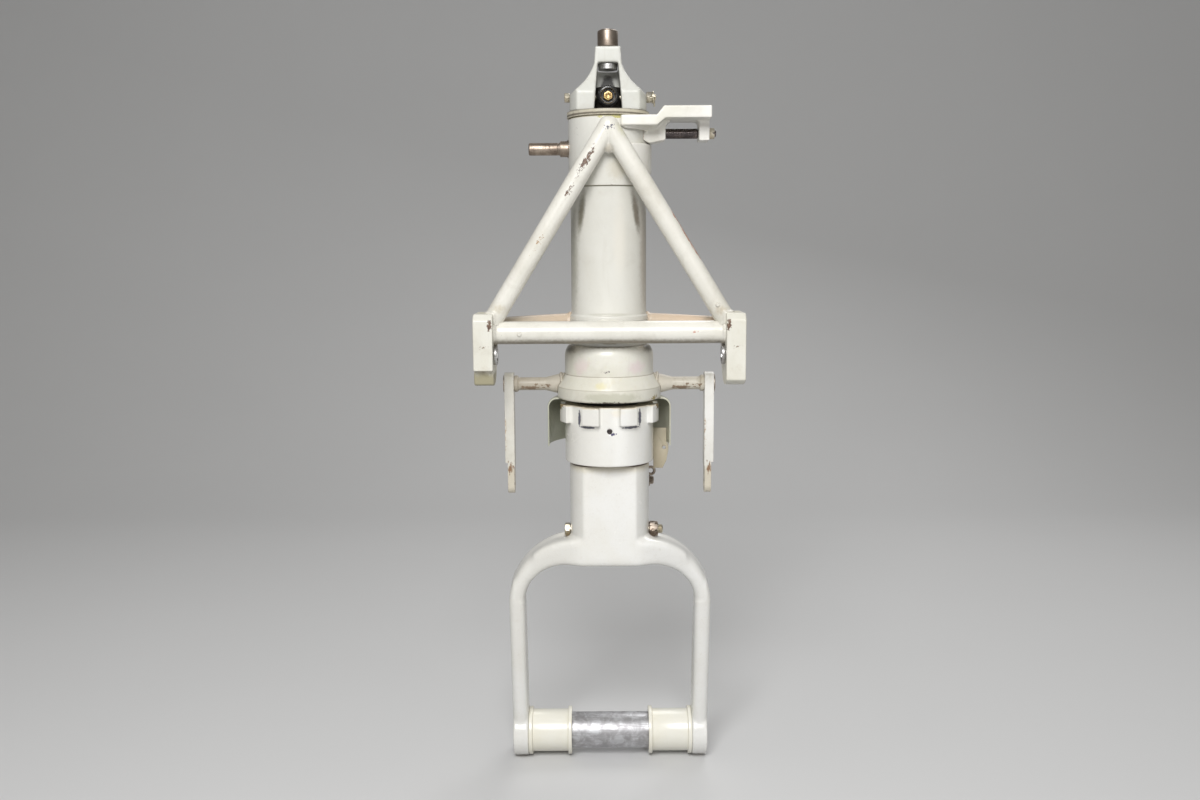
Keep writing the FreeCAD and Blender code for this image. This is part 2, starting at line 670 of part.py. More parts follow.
def make_side_rods():
    """Pivot rods that stand out of the housing, each with a hanging link on its end."""
    rods, caps = [], []
    for side, name in ((1, "right"), (-1, "left")):
        height = dim.rodHeight
        tip = dim.linkInner + dim.linkWidth
        rod = cylinder(f"rod_{name}_bar", dim.rodRadius, (30 * side, 0, height),
                       (tip * side, 0, height))
        foot = doc.addObject("Part::Cone", f"rod_{name}_foot")
        bind(foot, "Radius1", dim.rodRadius + 5)
        bind(foot, "Radius2", dim.rodRadius)
        bind(foot, "Height", 20)
        foot.Placement = Placement(Vector(), Rotation(Vector(0, 0, 1), Vector(side, 0, 0)))
        bind_base(foot, (44 * side, 0, height))
        collar = cylinder(f"rod_{name}_collar", dim.rodRadius + 1.8,
                          ((dim.linkInner - 4) * side, 0, height),
                          ((dim.linkInner - 0.3) * side, 0, height))
        solid = joined(f"rod_{name}", rod, foot, collar)
        rods.append(less(f"side_rod_{name}", solid, housing_solid(f"rod_{name}_housing")))

        body = new_body(f"side_link_{name}")
        start = dim.linkInner if side > 0 else -tip
        sketch = new_sketch(body, "YZ_Plane", f"side_link_{name}_outline", start)
        waist, rise = dim.linkWaist, dim.linkRise
        draw_outline(sketch, [
            (-waist, -dim.linkLength), (waist, -dim.linkLength, waist),
            (waist, rise), (-waist, rise, span(waist, rise)),
        ])
        draw_circle(sketch, (0, 0), dim.rodRadius + dim.runningGap)
        draw_circle(sketch, (0, -dim.linkLength), dim.linkHole)
        pad(body, sketch, dim.linkWidth)
        thin = new_sketch(body, "YZ_Plane", f"side_link_{name}_thin",
                          dim.linkInner - 1 if side > 0 else -dim.linkInner - dim.linkThin)
        draw_outline(thin, [(-20, -dim.linkLength + 20), (-20, -dim.linkLength - 20),
                            (20, -dim.linkLength - 20), (20, -dim.linkLength + 20)])
        pocket(body, thin, dim.linkThin + 1)
        keep(body, f"side_link_{name}", (0, 0, height))

        cap = new_body(f"cap_{name}")
        face = new_sketch(cap, "YZ_Plane", f"cap_{name}_circle", tip if side > 0 else -tip - 1.2)
        draw_circle(face, (0, height), dim.rodRadius + 2.2)
        pad(cap, face, 1.2)
        caps.append(cap)
    keep(grouped("side_rods", *rods), "side_rods")
    keep(grouped("link_retainers", *caps), "link_retainers")


def housing_solid(name):
    """Full-depth copy of the housing's outside, which cuts what is welded to it."""
    upper = cylinder(f"{name}_upper", dim.housingRadius, (0, 0, dim.coneTop), (0, 0, 0))
    cone = doc.addObject("Part::Cone", f"{name}_cone")
    bind(cone, "Radius1", dim.housingFlare)
    bind(cone, "Radius2", dim.housingRadius)
    bind(cone, "Height", dim.coneTop - dim.coneBottom)
    bind_base(cone, (0, 0, dim.coneBottom))
    foot = cylinder(f"{name}_foot", dim.housingFlare, (0, 0, dim.housingBottom),
                    (0, 0, dim.coneBottom))
    return joined(name, upper, cone, foot)


def make_shroud():
    """Half-round sheet behind the collar, hung from the housing's bottom face."""
    wall = dim.shroudWall
    top = dim.housingBottom
    outer = dim.shroudRadius
    bend = 9
    sweep = 192
    body = turned_body("shroud", [
        (45, top - wall), (outer - bend, top - wall), (outer - wall, top - bend, wall - bend),
        (outer - wall, dim.shroudBottom), (outer, dim.shroudBottom), (outer, top - bend),
        (outer - bend, top, bend), (45, top),
    ], angle=sweep)
    keep(body, "rear_shroud", turn=Rotation(Vector(0, 0, 1), (180 - sweep) / 2))

    tab = new_body("tab")
    outline = new_sketch(tab, "XZ_Plane", "tab_outline", -15.5)
    draw_outline(outline, [(45.5, -82), (45.5, -124), (55, -124), (59, -116), (61, -105),
                           (61, -99), (59, -97), (59, -82)])
    draw_circle(outline, (56.5, -102.6), 1.8)
    pad(tab, outline, 2.5)
    keep(tab, "shroud_tab")

    screws = []
    for number, angle in enumerate((35, 90, 145)):
        spot = (dim.rivetCircle * math.cos(math.radians(angle)),
                dim.rivetCircle * math.sin(math.radians(angle)))
        head = cylinder(f"screw{number}_head", 2.6, (*spot, dim.housingBottom - wall - 1.3),
                        (*spot, dim.housingBottom - wall))
        screws.append(head)
    keep(joined("screws", *screws), "shroud_rivets")


def make_frame_trim():
    """Grease nipple on the back of the housing."""
    base = cylinder("nipple_base", 3.2, (-18, 30, -20), (-27, 45, -20))
    stem = cylinder("nipple_stem", 1.9, (-18, 30, -20), (-30, 50, -20))
    shell = cylinder("nipple_shell", dim.housingRadius, (0, 0, -27), (0, 0, 0))
    keep(less("nipple", joined("nipple", base, stem), shell), "grease_nipple")


# ---- steering group ---------------------------------------------------------

def make_oleo_cylinder():
    bore, outer = dim.cylinderBore, dim.cylinderRadius
    shoulder = dim.barrelTop + 0.2
    corners = [
        (bore, dim.cylinderEnd), (outer, dim.cylinderEnd), (outer, shoulder),
        (dim.neckRadius, shoulder), (dim.neckRadius, dim.neckTop), (0, dim.neckTop),
        (0, dim.cylinderRoof), (bore, dim.cylinderRoof),
    ]
    body = turned_body("oleo", corners)
    hole = new_sketch(body, "YZ_Plane", "oleo_bolt_hole")
    draw_circle(hole, (0, dim.towerBoltZ), dim.towerBolt)
    cut_through(body, hole)
    keep(body, "oleo_cylinder")
    keep(ring_body("thrust_ring", dim.neckRadius, dim.ringRadius, shoulder, dim.ringTop),
         "thrust_ring")


def make_tower():
    """Arched bracket on the cylinder's neck that carries the steering roller."""
    base, top = dim.ringTop, dim.towerTop
    wide, narrow = dim.towerWidth, 12.4
    body = new_body("tower")
    sketch = new_sketch(body, "XZ_Plane", "tower_outline")
    draw_outline(sketch, [
        (-wide, base), (wide, base), (wide, 248.5), (narrow + 1, 278, -52), (narrow, top),
        (-narrow, top), (-narrow - 1, 278), (-wide, 248.5, -52),
    ])
    pad(body, sketch, dim.towerHalfDepth * 2, centred=True)
    slot = new_sketch(body, "XZ_Plane", "tower_slot", -14)
    draw_outline(slot, [(-13.8, base - 5), (13.8, base - 5), (9.7, dim.slotTop),
                        (-9.7, dim.slotTop)])
    pocket(body, slot, 60)
    bolt = new_sketch(body, "YZ_Plane", "tower_bolt_hole")
    draw_circle(bolt, (0, dim.towerBoltZ), dim.towerBolt)
    cut_through(body, bolt)
    post = new_sketch(body, "XY_Plane", "tower_post_hole", 268)
    draw_circle(post, (0, 0), dim.postRadius)
    pocket(body, post, 60)
    side = new_body("tower_side")
    profile = new_sketch(side, "YZ_Plane", "tower_profile")
    deep, thin = dim.towerHalfDepth, dim.towerTopDepth
    draw_outline(profile, [(-deep, base - 5), (deep, base - 5), (deep, 250), (thin, dim.slotTop),
                           (thin, top), (-thin, top), (-thin, dim.slotTop), (-deep, 250)])
    pad(side, profile, 100, centred=True)
    tapered = doc.addObject("Part::Common", "tower_tapered")
    tapered.Base = body
    tapered.Tool = side
    envelope = doc.addObject("Part::Common", "tower_common")
    envelope.Base = tapered
    envelope.Tool = cylinder("tower_round", dim.towerWidth + 1, (0, 0, base - 5), (0, 0, top + 5))
    neck = cylinder("tower_neck", dim.neckRadius, (0, 0, base - 5), (0, 0, dim.neckTop))
    keep(less("steering_tower", envelope, neck), "steering_tower")


def make_tower_fittings():
    centre = (0, dim.towerBoltZ)
    bolt = shaft_body("tower_bolt", "YZ_Plane", [(centre, dim.towerBolt)], -38, 85)
    head = new_sketch(bolt, "YZ_Plane", "tower_bolt_head", -dim.towerWidth - 5)
    draw_circle(head, centre, 5)
    pad(bolt, head, 5)
    keep(bolt, "tower_bolt")
    nut = hex_prism("tower_nut", "YZ_Plane", 10, dim.towerWidth, 5.5, centre,
                    bore=dim.towerBolt, turn=30)
    keep(nut, "tower_nut")
    washer = cylinder("lock_washer", 6, (43.1, 0, dim.towerBoltZ), (44.9, 0, dim.towerBoltZ))
    cotter = cylinder("cotter_pin", 1, (45.6, -7.3, dim.towerBoltZ), (45.6, 7.3, dim.towerBoltZ))
    leg = cylinder("cotter_leg", 0.8, (45.7, 6.6, dim.towerBoltZ), (45.7, 6.6, dim.towerBoltZ - 8))
    through = cylinder("lock_hole", dim.towerBolt, (40, 0, dim.towerBoltZ),
                       (50, 0, dim.towerBoltZ))
    keep(less("lock", joined("lock", washer, cotter, leg), through), "tower_cotter")

    front = dim.towerHalfDepth - 2
    height = dim.valveZ
    plug = new_body("valve")
    face = new_sketch(plug, "XZ_Plane", "valve_body", 6)
    draw_circle(face, (0, height), dim.valveRadius)
    pad(plug, face, front - 8)
    keep(less("valve", plug,
              cylinder("valve_neck", dim.neckRadius, (0, 0, dim.ringTop), (0, 0, dim.neckTop)),
              cylinder("valve_socket", 5.2, (0, -front + 6, height), (0, -60, height))),
         "filler_valve_body")
    core = hex_prism("valve_core", "XZ_Plane", 9, front - 6, 5, (0, height))
    keep(core, "filler_valve_core")


def make_roller():
    post = turned_body("post", [
        (0, 270), (dim.postRadius, 270), (dim.postRadius, dim.rollerTop + 0.3),
        (7.5, dim.rollerTop + 0.3), (7, dim.rollerTop + 0.8), (0, dim.rollerTop + 0.8),
    ])
    keep(post, "roller_post")
    keep(ring_body("post_nut", dim.postRadius, 9.2, dim.slotTop - 5.8, dim.slotTop),
         "roller_post_nut")
    low = dim.towerTop + 0.3
    outer, inner = dim.rollerRadius, dim.postRadius + dim.runningGap
    roller = turned_body("roller", [
        (inner, low), (outer - 0.6, low), (outer, low + 0.6), (outer, dim.rollerTop - 1.2),
        (outer - 1.2, dim.rollerTop), (inner, dim.rollerTop),
    ])
    keep(roller, "steering_roller")


def make_collar():
    """Castellated collar clamped on the cylinder's foot."""
    body = ring_body("collar", dim.cylinderRadius, dim.collarRadius, dim.collarBottom,
                     dim.collarTop)
    tooth = new_sketch(body, "XY_Plane", "collar_tooth", dim.toothBottom)
    half = math.radians(dim.toothAngle.value / 2)
    inner, outer = dim.collarRadius - 2, dim.toothRadius
    middle_angle = math.radians(-90 + 22.5)

    def spot(radius, angle):
        return (radius * round(math.cos(angle), 9), radius * round(math.sin(angle), 9))

    draw_outline(tooth, [
        spot(inner, middle_angle - half), spot(outer, middle_angle - half),
        (*spot(outer, middle_angle + half), outer), spot(inner, middle_angle + half),
    ])
    first = pad(body, tooth, dim.toothTop - dim.toothBottom)
    doc.recompute()
    pattern = body.newObject("PartDesign::PolarPattern", "collar_teeth")
    pattern.Originals = [first]
    pattern.Axis = (tooth, ["N_Axis"])
    pattern.Angle = 360
    pattern.Occurrences = int(dim.toothCount.value)
    pattern.setExpression("Occurrences", dim.toothCount.text)
    body.Tip = pattern
    height = dim.screwZ
    hole = cylinder("screw_hole", dim.screwRadius, (0, -60, height), (0, -38, height))
    keep(less("steering_collar", body, hole), "steering_collar")
    screw = cylinder("collar_screw", dim.screwRadius, (0, -44, height), (0, -38, height))
    keep(screw, "collar_set_screw", (0, -44, height))


def ear_outline(points, name, start, collar):
    """One torque link ear, padded from its outline in the strut's middle plane."""
    body = new_body(name)
    sketch = new_sketch(body, "YZ_Plane", f"{name}_outline", start)
    draw_outline(sketch, points)
    draw_circle(sketch, (dim.pivotY, collar), dim.pivotBolt)
    pad(body, sketch, dim.earWidth)
    return body


def make_collar_ears():
    pivot = dim.upperPivotZ
    end = dim.earRadius
    ears = []
    for side, name in ((1, "right"), (-1, "left")):
        start = dim.earInner if side > 0 else -dim.earInner - dim.earWidth
        points = [
            (24, -91), (24, -111.5), (36, -113.5), (dim.pivotY - end, pivot),
            (dim.pivotY + end, pivot, end), (dim.pivotY + 4, -105),
        ]
        ear = ear_outline(points, f"upper_ear_{name}", start, pivot)
        trim = cylinder(f"upper_ear_{name}_trim", dim.collarRadius, (0, 0, dim.collarBottom),
                        (0, 0, dim.collarTop))
        ears.append(less(f"upper_ear_{name}", ear, trim))
    keep(grouped("upper_link_ears", *ears), "upper_link_ears")
    bolt = link_bolt("upper_link_bolt", pivot)
    keep(bolt, "upper_link_bolt")
    ring = doc.addObject("Part::Torus", "eye_torus")
    bind(ring, "Radius1", 3.9)
    bind(ring, "Radius2", 1.5)
    ring.Placement = Placement(Vector(), Rotation(Vector(0, 0, 1), Vector(0, 1, 0)))
    bind_base(ring, (dim.tieEyeX, dim.tieEyeY, dim.tieEyeZ))
    shank = cylinder("eye_shank", 2, (dim.earInner + dim.earWidth, dim.tieEyeY, dim.tieEyeZ),
                     (dim.tieEyeX - 4.5, dim.tieEyeY, dim.tieEyeZ))
    keep(joined("eye", ring, shank), "tie_eye")


def link_bolt(name, height):
    """Pivot bolt along X with a round head at the left and its nut at the right."""
    half = dim.earInner + dim.earWidth
    centre = (dim.pivotY, height)
    body = shaft_body(name, "YZ_Plane", [(centre, dim.pivotBolt)], -half, half * 2 + 12)
    head = new_sketch(body, "YZ_Plane", f"{name}_head", -half - 5.5)
    draw_circle(head, centre, dim.boltHead)
    pad(body, head, 5.5)
    nut = new_sketch(body, "YZ_Plane", f"{name}_nut", half)
    draw_circle(nut, centre, dim.boltHead - 0.2)
    pad(body, nut, 8)
    return body


def make_gland():
    gap = dim.runningGap
    keep(ring_body("gland", dim.pistonRadius + gap, dim.cylinderBore, -104, -76), "gland_nut")
    keep(ring_body("wiper", dim.pistonRadius + gap, dim.cylinderBore, -107.5, -104), "wiper_seal")
    tube = turned_body("orifice", [
        (4.7, 40), (12, 40), (12, dim.cylinderRoof), (9, dim.cylinderRoof), (9, 44), (4.7, 44),
    ])
    keep(tube, "orifice_tube")


# ---- sliding fork group -----------------------------------------------------

def make_piston():
    top = dim.pistonTop
    body = ring_body("piston", dim.pistonBore, dim.pistonRadius, dim.pistonEnd, top)
    hole = new_sketch(body, "YZ_Plane", "piston_bolt_hole")
    draw_circle(hole, (0, dim.forkBoltZ), dim.forkBolt)
    cut_through(body, hole)
    keep(body, "piston_tube")
    keep(ring_body("head", dim.pistonRadius, dim.cylinderBore - dim.runningGap, top - 16, top),
         "piston_bearing")
    plug = turned_body("plug_pin", [
        (0, -176), (dim.pistonBore, -176), (dim.pistonBore, -168), (4, -168), (4, 30), (3, 62),
        (0, 62),
    ])
    keep(plug, "metering_pin")


def arch_body(name, depth):
    """Crown and two arms in one flat arch, upright, with large bends at its corners."""
    body = new_body(name)
    sketch = new_sketch(body, "XZ_Plane", f"{name}_outline")
    outer, inner = dim.forkOuter, dim.forkInner
    top, under = dim.crownTop, dim.crownUnder
    foot = dim.axleDrop
    outer_rise, inner_rise = top - dim.outerBend, under - dim.innerBend
    draw_outline(sketch, [
        (-outer, foot), (-inner, foot), (-inner, inner_rise),
        (-inner + dim.innerBend, under, -dim.innerBend), (inner - dim.innerBend, under),
        (inner, inner_rise, -dim.innerBend), (inner, foot), (outer, foot), (outer, outer_rise),
        (outer - dim.outerBend, top, dim.outerBend), (-outer + dim.outerBend, top),
        (-outer, outer_rise, dim.outerBend),
    ])
    pad(body, sketch, depth, centred=True)
    return body


def fork_crown(name, half, thin, reach, lean=None):
    """Deeper middle of the crown, which thins out towards the arms; a lean rakes its faces."""
    deep = arch_body(f"{name}_arch", dim.stemFlat * 2)
    taper = new_body(f"{name}_taper")
    plan = new_sketch(taper, "XY_Plane", f"{name}_plan", dim.crownUnder - 40)
    draw_outline(plan, [(-reach, -thin), (-30, -half), (30, -half), (reach, -thin),
                        (reach, thin), (30, half), (-30, half), (-reach, thin)])
    pad(taper, plan, dim.crownTop - dim.crownUnder + 44)
    crown = doc.addObject("Part::Common", f"{name}_common")
    crown.Base = deep
    crown.Tool = taper
    if lean:
        taper.Placement = lean
    return crown


def make_fork():
    """Cast fork: flat-sided stem, crown and raked arms with round axle ends."""
    arch = arch_body("arch", dim.forkDepth)
    half = dim.forkDepth.value / 2

    def long_edge(edge):
        spot = middle(edge)
        return abs(abs(spot.y) - half) < 0.01 and spot.z > dim.axleDrop.value + 0.5

    round_edges(arch, dim.armEdge, long_edge, "arch_rounding")
    rake = math.degrees(math.atan2(dim.axleTrail.value, (dim.rakePivot - dim.axleDrop).value))
    turn = Rotation(Vector(1, 0, 0), rake)
    centre = Vector(0, 0, dim.rakePivot.value)
    lean = Placement(centre - turn.multVec(centre), turn)
    arch.Placement = lean
    raked = fork_crown("raked_crown", dim.stemFlat - 2.5, dim.forkDepth / 2 + 0.2, 80, lean)

    bottom, top = dim.stemEnd, dim.stemTop
    stem = doc.addObject("Part::Common", "stem_common")
    stem.Base = cylinder("stem_round", dim.stemRadius, (0, 0, bottom), (0, 0, top))
    stem.Tool = block("stem_flats", (-60, -dim.stemFlat, bottom), (60, dim.stemFlat, top))
    upright = fork_crown("upright_crown", dim.stemFlat - 0.5, dim.forkDepth / 2 + 3, 54)
    pieces = [arch, stem, raked, upright]
    axle = (dim.axleTrail, dim.axleDrop)
    pivot = dim.lowerPivotZ
    for side, name in ((1, "right"), (-1, "left")):
        pieces.append(cylinder(f"eye_end_{name}", dim.eyeRadius, (dim.forkInner * side, *axle),
                               ((dim.forkOuter - 0.5) * side, *axle)))
        start = dim.earInner if side > 0 else -dim.earInner - dim.earWidth
        points = [
            (8, -192), (8, -216), (dim.pivotY, pivot - dim.earRadius),
            (dim.pivotY, pivot + dim.earRadius, dim.earRadius),
        ]
        pieces.append(ear_outline(points, f"lower_ear_{name}", start, pivot))
    solid = joined("fork", *pieces)
    bolt = (0, dim.forkBoltZ)
    holes = [
        cylinder("fork_bore", dim.pistonRadius, (0, 0, dim.pistonEnd), (0, 0, top + 5)),
        cylinder("fork_bolt_hole", dim.forkBolt, (-60, *bolt), (60, *bolt)),
        cylinder("fork_axle_hole", dim.axleRadius, (-130, *axle), (130, *axle)),
    ]
    for side, name in ((1, "right"), (-1, "left")):
        holes.append(cylinder(f"fork_spotface_{name}", 9, (dim.stemRadius * side, *bolt),
                              (60 * side, *bolt)))
    keep(less("fork", solid, *holes), "fork")


def make_fork_fittings():
    centre = (0, dim.forkBoltZ)
    bolt = shaft_body("fork_bolt", "YZ_Plane", [(centre, dim.forkBolt)], -dim.stemRadius,
                      dim.stemRadius * 2 + 14)
    head = new_sketch(bolt, "YZ_Plane", "fork_bolt_head", -dim.stemRadius - 5.5)
    draw_circle(head, centre, 7.2)
    pad(bolt, head, 5.5)
    keep(bolt, "fork_bolt")
    nut = hex_prism("fork_nut", "YZ_Plane", 14.5, dim.stemRadius, 9, centre,
                    bore=dim.forkBolt)
    keep(nut, "fork_nut")
    keep(link_bolt("lower_link_bolt", dim.lowerPivotZ), "lower_link_bolt")


def make_axle():
    centre = (dim.axleTrail, dim.axleDrop)
    half = dim.forkOuter - 0.5
    axle = shaft_body("axle", "YZ_Plane",
                      [(centre, dim.axleRadius), (centre, dim.axleBore)], -half, half * 2)
    keep(axle, "axle_tube")
    plates, nuts = [], []
    for side, name in ((1, "right"), (-1, "left")):
        body = new_body(f"spacer_{name}")
        stations = [
            (dim.spacerInner, dim.spacerFlange, 4), (dim.spacerInner + 4, dim.spacerBody,
                                                     dim.forkInner - dim.spacerInner - 8),
            (dim.forkInner - 4, dim.spacerFlange, 4),
        ]
        for number, (near, radius, length) in enumerate(stations):
            start = near if side > 0 else -(near + length)
            sketch = new_sketch(body, "YZ_Plane", f"spacer_{name}_{number}", start)
            draw_circle(sketch, centre, radius)
            draw_circle(sketch, centre, dim.axleRadius)
            pad(body, sketch, length)
        keep(body, f"axle_spacer_{name}")
        inset = half - 7
        face = inset if side > 0 else -inset - 3
        plates.append(shaft_body(f"end_plate_{name}", "YZ_Plane",
                                 [(centre, dim.axleBore), (centre, dim.tieRod)], face, 3))
        start = inset + 3 if side > 0 else -half
        nuts.append(hex_prism(f"tie_nut_{name}", "YZ_Plane", 12, start, 4, centre,
                              bore=dim.tieRod))
    keep(grouped("axle_end_plates", *plates), "axle_end_plates")
    keep(grouped("tie_rod_nuts", *nuts), "tie_rod_nuts")
    keep(shaft_body("tie", "YZ_Plane", [(centre, dim.tieRod)], -half + 0.5, half * 2 - 1),
         "tie_rod")


# ---- torque links -----------------------------------------------------------

def make_torque_link(name, upper):
    """Triangular link drawn along +Y from its pivot, then tipped to reach the apex."""
    hub = 10
    reach = dim.linkReach
    wide = dim.earInner - 0.4
    body = new_body(name)
    plan = new_sketch(body, "XY_Plane", f"{name}_plan")
    draw_outline(plan, [(-wide, 0), (wide, 0), (wide, 8), (15, reach - 10), (15, reach),
                        (-15, reach), (-15, reach - 10), (-wide, 8)])
    pad(body, plan, 9, centred=True)
    barrel = new_sketch(body, "YZ_Plane", f"{name}_barrel")
    draw_circle(barrel, (0, 0), hub)
    pad(body, barrel, wide * 2, centred=True)
    apex = new_sketch(body, "YZ_Plane", f"{name}_apex")
    draw_circle(apex, (reach, 0), hub if upper else hub + 1)
    pad(body, apex, 36 if upper else 17, centred=True)
    window = new_sketch(body, "XY_Plane", f"{name}_window")
    draw_outline(window, [(-14, 20), (14, 20), (8.5, reach - 36), (-8.5, reach - 36)])
    cut_through(body, window)
    pin = new_sketch(body, "YZ_Plane", f"{name}_pin")
    draw_circle(pin, (0, 0), dim.pivotBolt + dim.runningGap)
    cut_through(body, pin)
    hole = new_sketch(body, "YZ_Plane", f"{name}_apex_hole")
    draw_circle(hole, (reach, 0), dim.pivotBolt if upper else dim.pivotBolt + dim.apexClearance)
    cut_through(body, hole)
    near = reach - hub - 12
    if upper:
        gap = new_sketch(body, "XY_Plane", f"{name}_gap")
        draw_outline(gap, [(-9, near), (9, near), (9, reach + 20), (-9, reach + 20)])
        cut_through(body, gap)
    else:
        for side in (1, -1):
            near_x, far_x = 8.5 * side, 30 * side
            trim = new_sketch(body, "XY_Plane", f"{name}_trim{side}")
            draw_outline(trim, [(min(near_x, far_x), near), (max(near_x, far_x), near),
                                (max(near_x, far_x), reach + 20),
                                (min(near_x, far_x), reach + 20)])
            cut_through(body, trim)
    tilt = math.degrees(math.asin((dim.upperPivotZ - dim.lowerPivotZ).value / 2 / reach.value))
    turn = Rotation(Vector(1, 0, 0), -tilt if upper else tilt)
    height = dim.upperPivotZ if upper else dim.lowerPivotZ
    keep(body, name, (0, dim.pivotY, height), turn)


def make_apex_bolt():
    rise = (dim.upperPivotZ - dim.lowerPivotZ).value / 2
    depth = math.sqrt(dim.linkReach.value ** 2 - rise ** 2)
    centre = (dim.pivotY + depth, (dim.upperPivotZ + dim.lowerPivotZ) / 2)
    body = shaft_body("apex_bolt", "YZ_Plane", [(centre, dim.pivotBolt)], -18, 44)
    head = new_sketch(body, "YZ_Plane", "apex_bolt_head", -23)
    draw_circle(head, centre, 7.4)
    pad(body, head, 5)
    keep(body, "apex_bolt")
    nut = hex_prism("apex_nut", "YZ_Plane", 13, 18, 6.5, centre, bore=dim.pivotBolt)
    keep(nut, "apex_nut")


# ---- assembly ---------------------------------------------------------------

def make_everything():
    make_barrel()
    make_housing()
    make_steering_bushes()
    make_braces()
    make_cross_tubes()
    make_lugs()
    make_uplock()
    make_stud()
    make_side_rods()
    make_shroud()
    make_frame_trim()
    make_oleo_cylinder()
    make_tower()
    make_tower_fittings()
    make_roller()
    make_collar()
    make_collar_ears()
    make_gland()
    make_piston()
    make_fork()
    make_fork_fittings()
    make_axle()
    make_torque_link("upper_torque_link", upper=True)
    make_torque_link("lower_torque_link", upper=False)
    make_apex_bolt()


def check_document():
    for thing in doc.Objects:
        if "Invalid" in thing.State or "Error" in thing.State:
            raise RuntimeError(f"{thing.Name} failed: {thing.State}")
    for label, thing in subparts.items():
        if thing.Shape.isNull() or not thing.Shape.isValid() or not thing.Shape.Solids:
            raise RuntimeError(f"{label} has no valid solid")


make_everything()
doc.recompute()
check_document()
os.makedirs("parts", exist_ok=True)
for label, thing in sorted(subparts.items()):
    thing.Shape.exportStep(f"parts/{label}.step")
    print(f"{label:24s} {thing.Shape.Volume / 1000:9.2f} cm3  {len(thing.Shape.Solids)} solid")
print(len(subparts), "sub-parts")
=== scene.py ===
import bpy
import json
import math
import random
from mathutils import Matrix, Vector

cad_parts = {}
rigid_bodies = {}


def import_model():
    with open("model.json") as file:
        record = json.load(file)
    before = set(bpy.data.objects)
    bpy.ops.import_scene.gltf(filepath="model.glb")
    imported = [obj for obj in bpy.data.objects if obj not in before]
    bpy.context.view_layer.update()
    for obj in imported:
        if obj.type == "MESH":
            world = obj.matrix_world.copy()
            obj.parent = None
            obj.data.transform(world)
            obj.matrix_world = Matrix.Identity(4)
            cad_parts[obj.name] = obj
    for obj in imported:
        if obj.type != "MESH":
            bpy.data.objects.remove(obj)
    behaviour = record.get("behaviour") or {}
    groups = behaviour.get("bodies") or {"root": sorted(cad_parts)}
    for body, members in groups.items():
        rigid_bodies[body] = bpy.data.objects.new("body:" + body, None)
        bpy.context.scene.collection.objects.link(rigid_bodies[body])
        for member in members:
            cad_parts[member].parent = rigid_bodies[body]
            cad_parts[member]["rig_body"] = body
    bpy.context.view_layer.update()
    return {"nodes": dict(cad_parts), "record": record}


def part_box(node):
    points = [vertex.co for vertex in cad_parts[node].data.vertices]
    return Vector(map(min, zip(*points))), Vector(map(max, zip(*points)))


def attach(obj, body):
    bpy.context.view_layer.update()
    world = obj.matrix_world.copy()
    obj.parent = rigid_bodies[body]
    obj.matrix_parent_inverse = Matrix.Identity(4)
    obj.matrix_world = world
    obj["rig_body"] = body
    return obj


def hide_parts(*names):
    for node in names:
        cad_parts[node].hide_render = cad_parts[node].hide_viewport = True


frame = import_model()
nodes = frame["nodes"]
axisY = sum(corner.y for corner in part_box("outer_barrel")) / 2  # strut centreline
mm = 0.001
random.seed(11)
print("frame loaded,", len(nodes), "nodes")


class Wire:  # a socket that can be used in sums
    def __init__(self, finish, socket):
        self.finish = finish
        self.socket = socket

    def maths(self, operation, first, second):
        return self.finish.node("Math", {"operation": operation}, {0: first, 1: second})

    def __add__(self, other):
        return self.maths("ADD", self, other)

    def __sub__(self, other):
        return self.maths("SUBTRACT", self, other)

    def __rsub__(self, other):
        return self.maths("SUBTRACT", other, self)

    def __mul__(self, other):
        return self.maths("MULTIPLY", self, other)

    def most(self, other):
        return self.maths("MAXIMUM", self, other)

    __radd__ = __add__
    __rmul__ = __mul__


class Finish:  # a material while its nodes are being laid out
    def __init__(self, name, **fixed):
        self.material = bpy.data.materials.new(name)
        self.material.use_nodes = True
        self.shader = self.material.node_tree.nodes["Principled BSDF"]
        self.place = self.node("TexCoord", out="Object")
        for socket, value in fixed.items():
            self.shader.inputs[socket.replace("_", " ")].default_value = value

    def node(self, kind, settings=None, values=None, out=0):
        made = self.material.node_tree.nodes.new("ShaderNode" + kind)
        for key, value in (settings or {}).items():
            setattr(made, key, value)
        for key, value in (values or {}).items():
            self.feed(made.inputs[key], value)
        return Wire(self, made.outputs[out])

    def feed(self, socket, value):
        if isinstance(value, Wire):
            self.material.node_tree.links.new(value.socket, socket)
        else:
            socket.default_value = value

    def send(self, **wires):
        for name, wire in wires.items():
            self.feed(self.shader.inputs[name.replace("_", " ")], wire)
        return self.material

    def stretched(self, scale):
        return self.node("Mapping", None, {"Vector": self.place, "Scale": scale})

    def noise(self, scale, detail=4.0, rough=0.55, bend=0.0, place=None):
        return self.node("TexNoise", None, {
            "Vector": place or self.place, "Scale": scale, "Detail": detail,
            "Roughness": rough, "Distortion": bend})

    def ramp(self, wire, low, high):  # 0 at low, 1 at high
        return self.node("MapRange", {"interpolation_type": "SMOOTHSTEP"}, {
            "Value": wire, "From Min": low, "From Max": high})

    def mix(self, part, first, second):
        tones = [tone if isinstance(tone, Wire) else (*tone, 1) for tone in (first, second)]
        return self.node("Mix", {"data_type": "RGBA"},
                         {0: part, 6: tones[0], 7: tones[1]}, 2)

    def vectors(self, operation, first, second, out=0):
        return self.node("VectorMath", {"operation": operation},
                         {0: first, 1: second}, out)

    def rim(self, radius):  # 1 on outer and inner edges
        soft = self.node("Bevel", {"samples": 4}, {"Radius": radius})
        true = self.node("NewGeometry", out="Normal")
        return self.ramp(1 - self.vectors("DOT_PRODUCT", soft, true, "Value"), 0.01, 0.16)

    def bump(self, height, depth):
        return self.node("Bump", None, {"Height": height, "Distance": depth})


